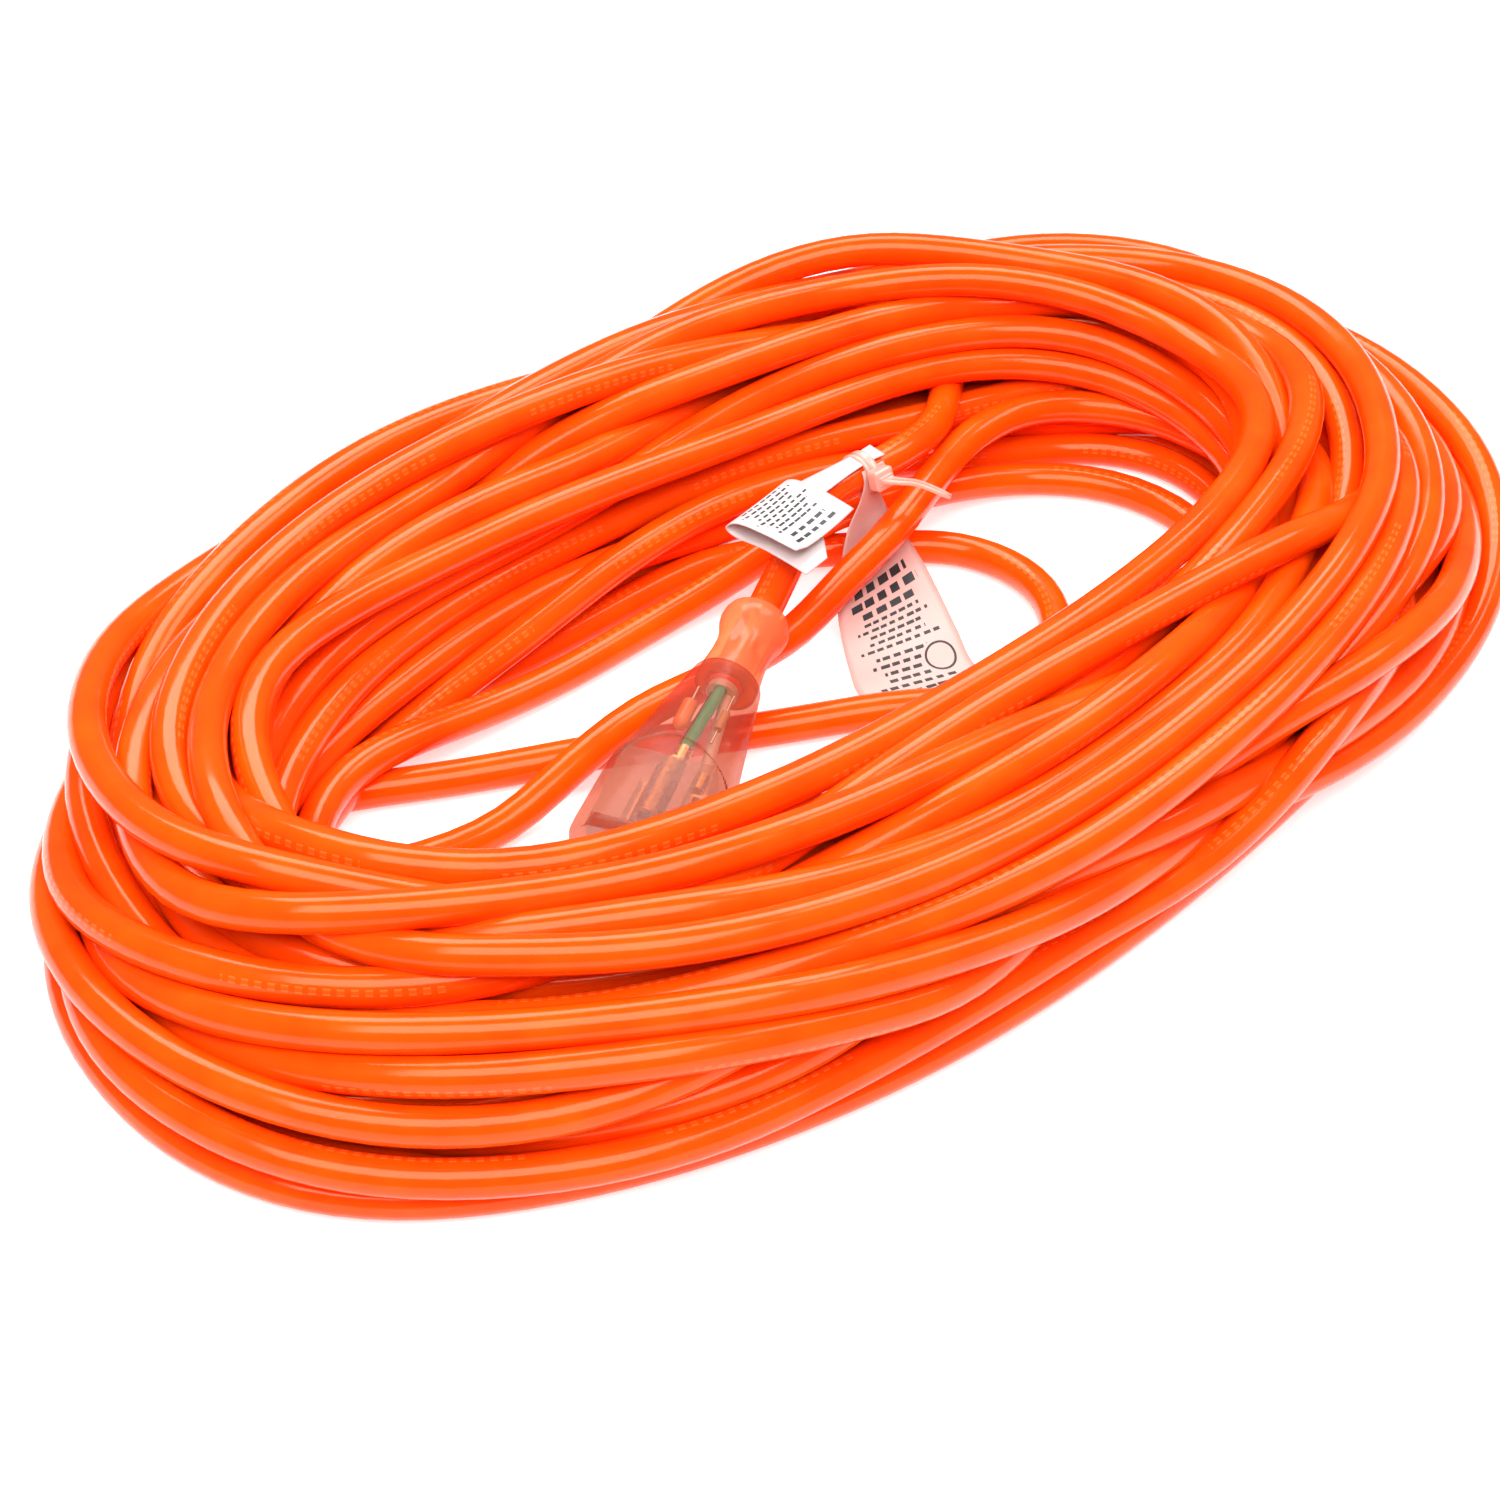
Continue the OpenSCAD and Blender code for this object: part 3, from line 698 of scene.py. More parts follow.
def moulded(name, rows, at, turn, wrap=False):
    """A moulding from closed rings of points, capped at both ends or joined end to end."""
    rows = np.asarray(rows, float)
    m, n = rows.shape[:2]
    faces = grid_faces(m, n, wrap_rows=wrap)
    if not wrap:
        faces += [tuple(range(n)), tuple((m - 1) * n + k for k in range(n))[::-1]]
    return new_mesh(name, placed(rows.reshape(-1, 3), at, turn), faces)


def section(x, half_w, half_h, power, count=96, grow=0.0, dents=()):
    """A ring across local X: a rounded rectangle that a power of 2 makes an ellipse."""
    a = 2 * np.pi * (np.arange(count) + 0.5) / count
    c, s = np.cos(a), np.sin(a)
    r = 1 / ((np.abs(c) / half_w) ** power + (np.abs(s) / half_h) ** power) ** (1 / power) + grow
    x = np.full(count, float(x))
    for at_x, at_angle, wide, deep in dents:
        d2 = (x - at_x) ** 2 + (r * (np.angle(np.exp(1j * (a - math.radians(at_angle)))))) ** 2
        r = r - deep * np.exp(-d2 / (2 * wide**2))
    return np.c_[x, r * c, r * s]


def tapered(stations, half_widths, half_heights, powers, at, grow):
    """Sections whose half sizes and roundness are given at stations along local X."""
    given = (half_widths, half_heights, powers)
    return [section(x, *(np.interp(x, stations, v) for v in given), grow=grow(x)) for x in at]


def rounded_rect(x, half_w, half_h, corner, count=96):
    a = 2 * np.pi * (np.arange(count) + 0.5) / count
    c, s = np.cos(a), np.sin(a)
    k = 1 / np.maximum(np.abs(c) / half_w, np.abs(s) / half_h)
    y, z = k * c, k * s
    iy, iz = half_w - corner, half_h - corner
    qy, qz = np.clip(y, -iy, iy), np.clip(z, -iz, iz)
    dy, dz = y - qy, z - qz
    out = np.hypot(dy, dz)
    f = np.where((np.abs(y) > iy) & (np.abs(z) > iz), corner / np.maximum(out, 1e-9), 1.0)
    return np.c_[np.full(count, float(x)), qy + dy * f, qz + dz * f]


def rounded_box(centre, half, corner, cuts=9):
    """Points and faces of a box with round edges."""
    g = np.linspace(-1, 1, cuts)
    half = np.asarray(half, float)
    points, faces = [], []
    for axis in range(3):
        for sign in (-1, 1):
            u, v = np.meshgrid(g, g, indexing="ij")
            p = np.zeros((cuts, cuts, 3))
            p[..., axis], p[..., (axis + 1) % 3], p[..., (axis + 2) % 3] = sign, u, v
            p = p.reshape(-1, 3) * half
            q = np.clip(p, -(half - corner), half - corner)
            d = p - q
            p = q + corner * d / np.maximum(norm(d, axis=1), 1e-9)[:, None]
            base = len(points) * cuts * cuts
            points.append(p)
            for i in range(cuts - 1):
                for k in range(cuts - 1):
                    f = (base + i * cuts + k, base + (i + 1) * cuts + k, base + (i + 1) * cuts + k + 1,
                         base + i * cuts + k + 1)
                    faces.append(f if sign > 0 else f[::-1])
    return np.vstack(points) + np.asarray(centre, float), faces


def gathered(shells):
    """The points and faces of several shells as one."""
    points, faces, base = [], [], 0
    for p, f in shells:
        points.append(np.asarray(p, float))
        faces += [tuple(i + base for i in q) for q in f]
        base += len(p)
    return np.vstack(points), faces


def joined(name, shells):
    """One object from several shells, with points that meet made one."""
    obj = new_mesh(name, *gathered(shells))
    bm = bmesh.new()
    bm.from_mesh(obj.data)
    bmesh.ops.remove_doubles(bm, verts=bm.verts, dist=1e-6)
    bmesh.ops.recalc_face_normals(bm, faces=bm.faces)
    bm.to_mesh(obj.data)
    bm.free()
    return obj


def film(P, side, widths, bow, thick=0.3, cols=17):
    """A thin closed strip of film along P. side is the direction of its width at each point."""
    P, side = np.asarray(P, float), np.asarray(side, float)
    u = np.linspace(-1, 1, cols)
    mid = P[:, None] + u[None, :, None] * side[:, None] * (np.asarray(widths) / 2)[:, None, None]
    mid = mid + bow(np.linspace(0, 1, len(P))[:, None], u[None, :])
    m = len(P)
    du = np.gradient(mid, axis=1)
    dv = np.gradient(mid, axis=0)
    N = np.cross(dv, du)
    N /= norm(N, axis=2)[:, :, None]
    top = (mid + N * thick / 2).reshape(-1, 3)
    under = (mid - N * thick / 2).reshape(-1, 3)
    faces, uvs = [], []
    run = distance_along(P)

    def spot(i, k):
        return (u[k] * widths[i] / 2, run[i])
    k0 = m * cols
    for i in range(m - 1):
        for k in range(cols - 1):
            a, b, c, d = i * cols + k, (i + 1) * cols + k, (i + 1) * cols + k + 1, i * cols + k + 1
            where = [spot(i, k), spot(i + 1, k), spot(i + 1, k + 1), spot(i, k + 1)]
            faces += [(a, b, c, d), (k0 + d, k0 + c, k0 + b, k0 + a)]
            uvs += [where, [(x, y + 500) for x, y in where[::-1]]]
    rim = ([(0, k) for k in range(cols)] + [(i, cols - 1) for i in range(1, m)]
           + [(m - 1, k) for k in range(cols - 2, -1, -1)] + [(i, 0) for i in range(m - 2, 0, -1)])
    for (i, k), (j, l) in zip(rim, rim[1:] + rim[:1]):
        a, b = i * cols + k, j * cols + l
        faces.append((a, b, k0 + b, k0 + a))
        uvs.append([(0, 900)] * 4)
    return np.vstack([top, under]), faces, uvs


def film_object(name, strips):
    """An object of one or more strips. Its UV is in millimetres: across, along; +500 on the back."""
    obj = new_mesh(name, *gathered([strip[:2] for strip in strips]))
    layer = obj.data.uv_layers.new(name="print")
    corners = [c for strip in strips for face in strip[2] for c in face]
    layer.data.foreach_set("uv", np.array(corners, np.float32).ravel())
    return obj


# --- materials of the small pieces
def clear_material(name, clear, tint, through_share, rough):
    """Hazy clear PVC: part of the light goes straight on, and the rest meets a milky glossy skin."""
    def build(tree):
        haze = noise(tree, 260.0, 4.0, 0.6)
        cloud = noise(tree, 70.0, 3.0, 0.6)
        colour = mixed(tree, cloud, tint, tuple(min(1.0, c * 1.12) for c in tint[:3]) + (1,))
        n = bump(tree, haze, 0.25, 0.0006)
        r = plus(tree, times(tree, cloud, 0.15), rough)
        skin = principled(tree, Base_Color=colour, Roughness=r, Normal=n, Specular_IOR_Level=0.6,
                          Coat_Weight=0.3, Coat_Roughness=0.08)
        soft = node(tree, "ShaderNodeBsdfTranslucent", Color=tint)
        straight = node(tree, "ShaderNodeBsdfTransparent", Color=clear)
        milky = mix_shader(tree, 0.4, skin, soft.outputs[0])
        share = plus(tree, times(tree, cloud, -0.25), through_share + 0.12)
        hazy = mix_shader(tree, share, milky, straight.outputs[0])
        gloss = node(tree, "ShaderNodeBsdfAnisotropic", Normal=n, Color=(1, 1, 1, 1), Roughness=rough)
        edge = node(tree, "ShaderNodeFresnel", Normal=n, IOR=1.5)
        outer = minus(tree, 1.0, tree.nodes.new("ShaderNodeNewGeometry").outputs["Backfacing"])
        return mix_shader(tree, times(tree, edge.outputs[0], outer), hazy, gloss.outputs[0])
    return material(name, build)


def solid_material(name, dark, light, rough, metal=0.0, scale=300.0, rise=0.15, coat=0.0):
    """A moulded or metal surface with a slight variation of colour and roughness, and a fine bump."""
    def build(tree):
        n = noise(tree, scale, 4.0, 0.6)
        wide = noise(tree, scale / 6, 2.0, 0.5)
        colour = mixed(tree, wide, dark + (1,), light + (1,))
        r = plus(tree, times(tree, n, 0.18), rough - 0.09)
        return principled(tree, Base_Color=colour, Roughness=r, Metallic=metal, Coat_Weight=coat,
                          Normal=bump(tree, n, rise, 0.0004))
    return material(name, build)


def printed_material(name, paper, ink, rows, ring=None):
    """Plastic film with grey bars in place of words.

    Each of rows is (from, to, pitch, bar, word, half width) in millimetres, and ring is (across,
    along, radius) of a plain printed ring.
    """
    def build(tree):
        across, along = uv_parts(tree, "print")
        total = None
        for start, stop, pitch, bar, word, reach in rows:
            inside = times(tree, calc(tree, "GREATER_THAN", along, float(start)),
                           less(tree, along, float(stop)))
            line = calc(tree, "DIVIDE", minus(tree, along, float(start)), float(pitch))
            here = less(tree, fract(tree, line), bar / pitch)
            number = calc(tree, "FLOOR", line)
            step = plus(tree, calc(tree, "DIVIDE", across, float(word)), times(tree, number, 7.37))
            seed = node(tree, "ShaderNodeCombineXYZ", X=calc(tree, "FLOOR", step), Y=number)
            white = node(tree, "ShaderNodeTexWhiteNoise", Vector=seed.outputs[0])
            long = plus(tree, times(tree, white.outputs[0], 0.35), 0.55)
            filled = less(tree, fract(tree, step), long)
            ends = tree.nodes.new("ShaderNodeTexWhiteNoise")
            ends.noise_dimensions = "1D"
            tree.links.new(number, ends.inputs["W"])
            limit = minus(tree, float(reach), times(tree, ends.outputs[0], reach * 0.35))
            within = less(tree, calc(tree, "ABSOLUTE", across), limit)
            mark = times(tree, times(tree, inside, here), times(tree, filled, within))
            total = mark if total is None else calc(tree, "MAXIMUM", total, mark)
        if ring:
            dx = minus(tree, across, float(ring[0]))
            dy = minus(tree, along, float(ring[1]))
            far = calc(tree, "SQRT", plus(tree, times(tree, dx, dx), times(tree, dy, dy)))
            total = times(tree, total, calc(tree, "GREATER_THAN", far, ring[2] + 1.2))
            total = calc(tree, "MAXIMUM", total, close_to(tree, far, float(ring[2]), 0.35))
        fibre = noise(tree, 500.0, 4.0, 0.6)
        sheet = mixed(tree, fibre, tuple(c * 0.94 for c in paper) + (1,), paper + (1,))
        colour = mixed(tree, total, sheet, ink + (1,))
        skin = principled(tree, Base_Color=colour, Roughness=0.38, Specular_IOR_Level=0.4,
                          Normal=bump(tree, fibre, 0.08, 0.0003))
        soft = node(tree, "ShaderNodeBsdfTranslucent", Color=colour)
        return mix_shader(tree, 0.22, skin, soft.outputs[0])
    return material(name, build)


CLEAR = clear_material("clear_pvc", (0.84, 0.55, 0.46, 1), (0.52, 0.19, 0.12, 1), 0.78, 0.10)
CLEAR_SLEEVE = clear_material("clear_pvc_over_cord", (1.0, 0.62, 0.38, 1), (0.92, 0.33, 0.13, 1), 0.52,
                              0.10)
NYLON = clear_material("frosted_nylon", (1.0, 0.86, 0.80, 1), (0.92, 0.60, 0.50, 1), 0.24, 0.22)
CARRIER = clear_material("grey_carrier", (0.93, 0.86, 0.82, 1), (0.30, 0.23, 0.20, 1), 0.80, 0.3)
BRASS = solid_material("brass", (0.62, 0.42, 0.17), (0.83, 0.63, 0.32), 0.28, metal=1.0)
NICKEL = solid_material("tinned_steel", (0.55, 0.54, 0.52), (0.78, 0.77, 0.75), 0.3, metal=1.0)
BLACK = solid_material("black_insulation", (0.006, 0.006, 0.007), (0.02, 0.02, 0.022), 0.4)
WHITE = solid_material("white_insulation", (0.70, 0.69, 0.66), (0.84, 0.83, 0.80), 0.4)
GREEN = solid_material("green_insulation", (0.0, 0.36, 0.14), (0.01, 0.55, 0.26), 0.36)
COTTON = solid_material("filler_cotton", (0.55, 0.47, 0.34), (0.78, 0.70, 0.55), 0.9, scale=1500.0, rise=0.6)
LAMP = solid_material("lamp_amber", (0.9, 0.25, 0.08), (1.0, 0.42, 0.16), 0.15, coat=0.5)
RESIST = solid_material("resistor_body", (0.50, 0.36, 0.20), (0.66, 0.50, 0.31), 0.5)
DARK = solid_material("dark_bridge", (0.020, 0.020, 0.022), (0.040, 0.040, 0.043), 0.45)


def finished(obj, mat, body, slot, *nodes):
    obj.data.materials.append(mat)
    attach(obj, body)
    if nodes:
        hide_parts(*nodes)
    return obj


def repaint(name, mat):
    obj = NODES[name]
    obj.data.materials.clear()
    obj.data.materials.append(mat)


# --- connector
def connector():
    dents = ((15.0, 44, 1.0, 1.1), (15.0, 98, 1.0, 1.1))
    lip = [(5.0, R + 0.35), (2.2, R + 0.55), (0.6, R + 1.3), (0.0, 6.9), (0.25, 7.9), (1.2, 8.7),
           (2.6, 9.2), (4.2, 9.35), (6.0, 9.1), (7.6, 8.55), (9.2, 8.0), (11.0, 7.65), (13.0, 7.5),
           (15.0, 7.5), (17.0, 7.6), (19.0, 7.8), (21.0, 8.05), (23.0, 8.2), (24.6, 8.3), (26.0, 8.3),
           (26.0, R + 0.35), (15.0, R + 0.35)]
    rows = [section(x, r, r, 2.0, dents=dents if r > 7.2 and x > 8 else ()) for x, r in lip]
    relief = moulded("connector_relief_moulding", rows, CONN_AT, CONN_TURN, wrap=True)
    finished(relief, CLEAR_SLEEVE, "cord", "clear_overmould", "connector_strain_relief")

    stations = [24.4, 24.7, 25.4, 30, 45, 59, 66, 78, 86, 88.6, 89.6, 90]
    half_widths = [8.6, 9.1, 9.45, 10.2, 12.5, 14.8, 15.5, 15.9, 16.1, 16.05, 15.6, 14.9]
    half_heights = [8.6, 9.1, 9.45, 10.0, 11.3, 12.6, 13.0, 13.2, 13.3, 13.25, 12.8, 12.2]
    powers = [2, 2, 2, 2.2, 2.7, 3.3, 3.4, 3.4, 3.5, 3.5, 3.5, 3.5]
    at = np.unique(np.r_[24.4, 24.7, 25.0, 25.4, np.arange(26, 54, 1.5), np.arange(54, 72, 0.5),
                         np.arange(72, 87, 1.5), 87, 88, 88.6, 89.1, 89.6, 89.9, 90])
    a = 2 * np.pi * (np.arange(96) + 0.5) / 96
    seam = 56 + 10 * np.cos(a) ** 2

    def step(x):
        return 1.1 * eased(x, seam, seam + 0.7) - 0.3 * np.exp(-((x - seam + 0.3) / 0.5) ** 2)
    rows = [section(24.4, 5.4, 5.4, 2.0)]
    rows += tapered(stations, half_widths, half_heights, powers, at, step)
    rows += [rounded_rect(90.0, 12.7, 12.2, 1.6), rounded_rect(89.4, 12.2, 11.7, 1.0),
             rounded_rect(85.0, 12.1, 11.6, 0.6)]
    body = moulded("connector_clear_body", rows, CONN_AT, CONN_TURN)
    finished(body, CLEAR, "cord", "clear_overmould", "connector_body")
    repaint("connector_face", CARRIER)
    for name in ("line_contact", "neutral_contact", "ground_contact", "crimps"):
        repaint("connector_" + name, BRASS)
    repaint("connector_filler", COTTON)
    repaint("power_lamp", LAMP)
    repaint("lamp_resistor", RESIST)
    repaint("lamp_leads", NICKEL)


def wire(name, start, stop, lay, end, mat, slot, at, turn):
    """A conductor from the end of the jacket to its crimp, as in the CAD."""
    lay = math.radians(lay)
    y, z = 1.95 * math.cos(lay), 1.95 * math.sin(lay)
    P = [(start, y, z), (start + 3, y, z), ((start + stop) / 2, (end[0] + y) / 2, (end[1] + z) / 2),
         (stop - 3, end[0], end[1]), (stop, end[0], end[1])]
    piece = tube(name + "_insulation", catmull(placed(P, at, turn), 6), 1.6, 20)
    finished(piece, mat, "cord", slot, name)


def wires():
    x0, back, blade_z = 27, 57, 8 - 11.9
    for colour, mat, lay, end in (("black", BLACK, 210, (-4.4, blade_z)),
                                  ("white", WHITE, 330, (4.4, blade_z)),
                                  ("green", GREEN, 90, (0, 5.2))):
        wire(f"connector_{colour}_wire", x0, back, lay, end, mat, colour + "_insulation", CONN_AT,
             CONN_TURN)
    x0, back, blade_z = 28.5, 50.8, 6.4 - 11.9
    for colour, mat, lay, end in (("black", BLACK, 330, (4.6, blade_z)),
                                  ("white", WHITE, 210, (-4.6, blade_z)),
                                  ("green", GREEN, 90, (0, 5))):
        wire(f"plug_{colour}_wire", x0, back, lay, end, mat, colour + "_insulation", PLUG_AT, PLUG_TURN)


# --- plug
def plug():
    profile = [(4.0, R + 0.3), (0.8, R + 0.4), (0.0, 5.9), (0.2, 6.6), (1.0, 7.0), (4.4, 7.05),
               (5.2, 6.8), (5.6, 6.3), (6.8, 6.3), (7.2, 6.9), (8.0, 7.2), (10.8, 7.25), (11.6, 7.0),
               (12.0, 6.5), (13.3, 6.5), (13.7, 7.1), (14.5, 7.4), (17.2, 7.45), (18.0, 7.2), (18.5, 6.8),
               (19.8, 6.8), (20.4, 7.4), (21.4, 7.9), (24.0, 8.2), (28.0, 8.3), (28.0, R + 0.3),
               (15.0, R + 0.3)]
    rows = [section(x, r, r, 2.0) for x, r in profile]
    relief = moulded("plug_relief_moulding", rows, PLUG_AT, PLUG_TURN, wrap=True)
    finished(relief, CLEAR_SLEEVE, "cord", "clear_overmould", "plug_strain_relief")
    stations = [25.4, 25.8, 26.6, 32, 40, 49, 52, 60, 63.5, 65.2, 65.8, 66]
    half_widths = [8.5, 9.1, 9.5, 10.6, 12.0, 13.0, 13.3, 13.7, 13.8, 13.6, 13.1, 12.6]
    half_heights = [8.5, 9.1, 9.5, 10.3, 11.3, 12.0, 12.2, 12.3, 12.3, 12.1, 11.7, 11.3]
    powers = [2, 2, 2, 2.3, 2.7, 3.0, 3.2, 3.4, 3.4, 3.4, 3.4, 3.4]
    at = np.unique(np.r_[25.4, 25.8, 26.2, 26.6, np.arange(28, 46, 1.5), np.arange(46, 56, 0.5),
                         np.arange(56, 63, 1.4), 63.5, 64.5, 65.2, 65.6, 65.8, 66])

    def grooves(x):
        return -0.5 * np.exp(-((x - 49.5) / 1.1) ** 2) - 0.5 * np.exp(-((x - 53) / 1.1) ** 2)
    rows = [section(25.4, 5.4, 5.4, 2.0)]
    rows += tapered(stations, half_widths, half_heights, powers, at, grooves)
    rows += [rounded_rect(66.0, 11.0, 10.5, 1.4), rounded_rect(65.0, 10.65, 10.15, 0.8),
             rounded_rect(62.0, 10.6, 10.1, 0.6)]
    body = moulded("plug_clear_body", rows, PLUG_AT, PLUG_TURN)
    finished(body, CLEAR, "cord", "clear_overmould", "plug_body")
    repaint("plug_bridge", DARK)
    for name in ("line_blade", "neutral_blade", "ground_pin", "crimps"):
        repaint("plug_" + name, BRASS)


# --- tie
def tie():
    inner, thick, wide = 5.2, 1.2, 4.0
    head_at, head_deep = 6.4, 4.6
    shells = []
    n = 120
    a = 2 * np.pi * np.arange(n) / n
    teeth = np.where(np.arange(n) % 2 == 0, 0.0, 0.22)
    rows = []
    edge, outer = wide / 2, inner + thick
    for x, r in ((-edge, inner + 0.2), (-edge, outer - 0.25), (-edge + 0.3, outer), (-0.9, outer),
                 (-0.75, None), (0.75, None), (0.9, outer), (edge - 0.3, outer), (edge, outer - 0.25),
                 (edge, inner + 0.2), (edge - 0.25, inner), (-edge + 0.25, inner)):
        rr = outer - 0.06 - teeth if r is None else np.full(n, r)
        rows.append(np.c_[np.full(n, x), rr * np.cos(a), rr * np.sin(a)])
    shells.append((np.array(rows).reshape(-1, 3) + TIE_AT, grid_faces(len(rows), n, wrap_rows=True)))
    t = math.radians(-20)
    turn = np.array([[1, 0, 0], [0, math.cos(t), -math.sin(t)], [0, math.sin(t), math.cos(t)]])
    box, faces = rounded_box((0, -head_at - head_deep / 2 + 0.4, 0), (3.2, 2.3, 3.0), 0.95)
    shells.append((placed(box, TIE_AT, turn), faces))
    lip, faces = rounded_box((0, -head_at - head_deep + 0.3, 0), (2.4, 0.5, 1.3), 0.35)
    shells.append((placed(lip, TIE_AT, turn), faces))
    tail = catmull(np.array([(0, -5.9, 0), (0, -11.3, 0), (1.5, -13.5, -0.7), (6, -17, -3),
                             (11, -22.6, -8.2)], float), 8)
    half = np.interp(np.linspace(0, 4, len(tail)), range(5), [2, 2, 1.9, 1.6, 1.2])
    T, _ = frames(tail)
    S = np.cross(T, (0, 0, 1.0))
    S[:9] = (-1, 0, 0)
    blend = np.linspace(0, 1, 6)[:, None]
    S[8:14] = (1 - blend) * np.array([-1.0, 0, 0]) + blend * S[13]
    S /= norm(S, axis=1)[:, None]
    S *= np.sign(S @ S[-1])[:, None]
    U = np.cross(S, T)
    rows = []
    for p, s, u, h, k in zip(tail, S, U, half, range(len(tail))):
        tip = 1 - 0.5 * eased(k, len(tail) - 3, len(tail) - 1)
        w, d = h * tip, 0.6
        rib = 0.1 if k % 2 else 0.0
        ring = [(w, -d + 0.2), (w, d - 0.2), (w - 0.25, d), (0.8, d), (0.7, d - rib),
                (-0.7, d - rib), (-0.8, d), (-w + 0.25, d), (-w, d - 0.2), (-w, -d + 0.2),
                (-w + 0.25, -d), (w - 0.25, -d)]
        rows.append([p + x * s + y * u for x, y in ring])
    rows = np.array(rows)
    m, c = rows.shape[:2]
    faces = grid_faces(m, c) + [tuple(range(c)), tuple((m - 1) * c + k for k in range(c))[::-1]]
    shells.append((placed(rows.reshape(-1, 3), TIE_AT, turn), faces))
    finished(joined("tie_moulding", shells), NYLON, "tie", "nylon", "cable_tie")


# --- label and tag
LABEL = [(19, 7, 38.6), (18, 13, 39.4), (17, 22, 39.6), (16, 31, 38.6), (15, 34, 40.6), (16, 31, 43),
         (17, 22, 44), (19, 11, 43)]
TONGUE = [(17, 30, 38.2), (30, 33, 36.8), (44, 35.4, 35.38), (56, 36, 35.38), (62, 36, 35.38)]
TAG = [(57, 32.6, 34), (56.5, 31.2, 32.4), (56, 30.7, 30), (54, 30.4, 26), (51.5, 29, 20), (50, 25.5, 12.5),
       (46, 18, 8.5), (41, 8, 5.5), (35, -4, 3), (31, -14, 0.6), (29, -32, 0.6), (30, -47, 0.6)]
TAG_WIDE = [0.24, 0.24, 0.24, 0.26, 0.56, 0.82, 0.98, 1, 1, 1, 1, 1]
TAG_TURN = [0, 0, 0, 6, 12, 12, 6, -4, -14, -20, -8, 4]


def strip_area(P, wide):
    return float((0.5 * (wide[1:] + wide[:-1]) * np.diff(distance_along(P))).sum())


def label():
    P = catmull(np.array(LABEL, float), 8)
    side = np.tile([math.cos(math.radians(10)), math.sin(math.radians(10)), 0], (len(P), 1))
    # the under leaf is cut to a slant, which leads up to the tongue
    wide = np.interp(np.linspace(0, 1, len(P)), [0, 0.12, 0.3, 0.45, 1], [9, 14, 21, 25, 25])
    P = P - side * ((25 - wide) / 2)[:, None]

    def bow(v, u):
        sag = (-1.0 * (1 - u**2) * eased(v, 0.55, 0.75)
               + 0.5 * u * np.sin(3.0 * v * np.pi) * eased(v, 0.6, 1.0))
        curl = 1.1 * eased(-u, 0.55, 1.0) * eased(v, 0.62, 0.95)
        return (sag + curl)[..., None] * np.array([0, 0, 1.0])
    main = film(P, side, wide, bow)
    Q = catmull(np.array(TONGUE, float), 6)
    reach = np.interp(np.arange(len(Q)), [0, 8, 14, 18, len(Q) - 1], [10.5, 8.5, 6.0, 5.0, 6.0])
    cross = np.tile([0, 1.0, 0], (len(Q), 1))
    neck = film(Q, cross, reach, lambda v, u: np.zeros(np.broadcast(v, u).shape + (3,)), cols=7)
    neck = (neck[0], neck[1], [[(x, y + 300) for x, y in w] for w in neck[2]])
    obj = film_object("label_film", [main, neck])
    # the printed leaf is the last part of the strip, seen from above
    total = distance_along(P)[-1]
    mat = printed_material("label_print", (0.76, 0.69, 0.68), (0.035, 0.035, 0.04),
                           [(total - 22.5, total - 8.0, 1.9, 0.75, 2.6, 10.5),
                            (total - 6.4, total - 1.2, 2.7, 1.15, 3.4, 9.0)])
    finished(obj, mat, "tie", "white_film", "rating_label")
    area = (strip_area(P, wide) + 46.0 * 7.0) * MM**2       # the second is the tongue's


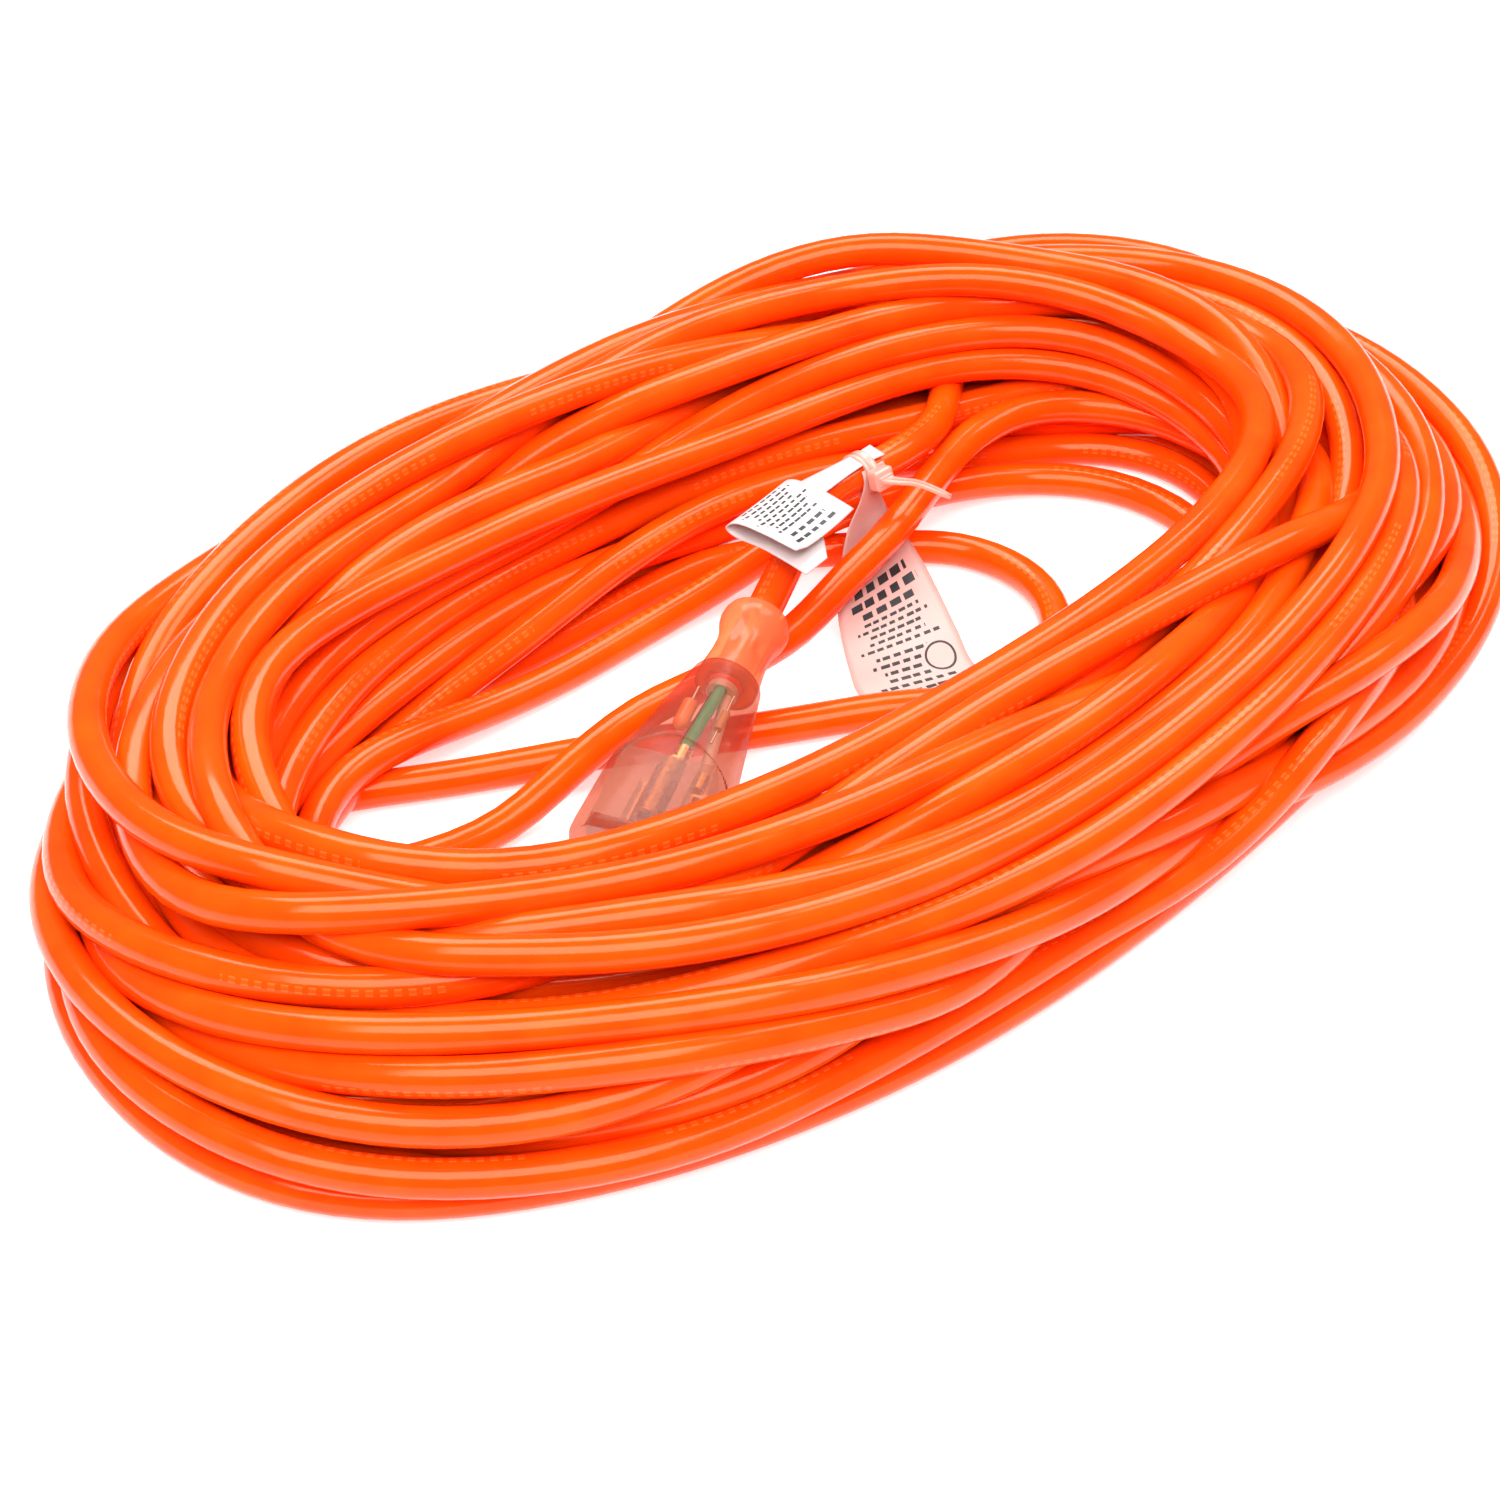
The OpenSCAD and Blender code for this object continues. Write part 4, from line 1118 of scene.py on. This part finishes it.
def tag():
    P = catmull(np.array(TAG, float), 8)
    index = np.linspace(0, len(TAG) - 1, len(P))
    wide = 34 * np.clip(catmull(np.c_[TAG_WIDE, TAG_WIDE, TAG_WIDE], 8)[:, 0], 0.2, 1.0)
    turn = np.radians(np.interp(index, range(len(TAG)), TAG_TURN))
    side = np.c_[np.cos(turn), np.sin(turn), np.zeros(len(P))]

    def bow(v, u):
        lift = 0.7 * u**2 * eased(v, 0.35, 0.6) * (1 - eased(v, 0.62, 0.8))
        return lift[..., None] * np.array([0, 0, 1.0])
    obj = film_object("tag_film", [film(P, side, wide, bow)])
    total = distance_along(P)[-1]
    mat = printed_material("tag_print", (0.74, 0.47, 0.42), (0.012, 0.012, 0.014),
                           [(33.0, 44.0, 4.4, 2.7, 5.0, 14.0), (45.5, 57.0, 2.5, 1.1, 3.0, 12.5),
                            (59.0, total - 3, 2.7, 1.2, 3.4, 11.0)], ring=(9.5, 64.0, 4.2))
    finished(obj, mat, "tie", "pale_film", "safety_tag")
    area = strip_area(P, wide) * MM**2


connector()
wires()
plug()
tie()
label()
tag()


# --- floor and light
def stage():
    size, n = 3.0, 60
    g = np.linspace(-size, size, n + 1)
    x, y = np.meshgrid(g, g)
    pts = np.c_[x.ravel(), y.ravel(), np.full(x.size, -0.0004)] / MM
    i = np.arange(n)
    faces = [(r * (n + 1) + c, r * (n + 1) + c + 1, (r + 1) * (n + 1) + c + 1, (r + 1) * (n + 1) + c)
             for r in i for c in i]
    floor = new_mesh("floor", pts, faces)

    def build(tree):
        return principled(tree, Base_Color=(0.72, 0.72, 0.72, 1), Roughness=0.7, Specular_IOR_Level=0.1,
                          Emission_Color=(1, 1, 1, 1), Emission_Strength=0.56)
    floor.data.materials.append(material("floor_white", build))


def area_light(name, azimuth, elevation, distance, size, power):
    data = bpy.data.lights.new(name, "AREA")
    data.shape = "RECTANGLE"
    data.size, data.size_y = size
    data.energy = power
    a, e = math.radians(azimuth), math.radians(elevation)
    back = Vector((math.sin(a) * math.cos(e), -math.cos(a) * math.cos(e), math.sin(e)))
    aimed(name, data, back * distance, -back)


def lighting():
    world = bpy.data.worlds.new("world")
    scene.world = world
    world.use_nodes = True
    tree = world.node_tree
    tree.nodes.clear()
    out = tree.nodes.new("ShaderNodeOutputWorld")
    sky = node(tree, "ShaderNodeBackground", Color=(1, 1, 1, 1), Strength=0.16)
    tree.links.new(sky.outputs[0], out.inputs[0])
    area_light("key", -50, 60, 1.3, (1.3, 0.8), 25)
    area_light("back", 150, 58, 1.4, (1.3, 0.6), 20)
    area_light("side", 70, 55, 1.5, (0.4, 0.9), 7)


stage()
lighting()
scene.view_settings.view_transform = "Standard"
scene.view_settings.look = "None"
scene.view_settings.exposure = 0.0
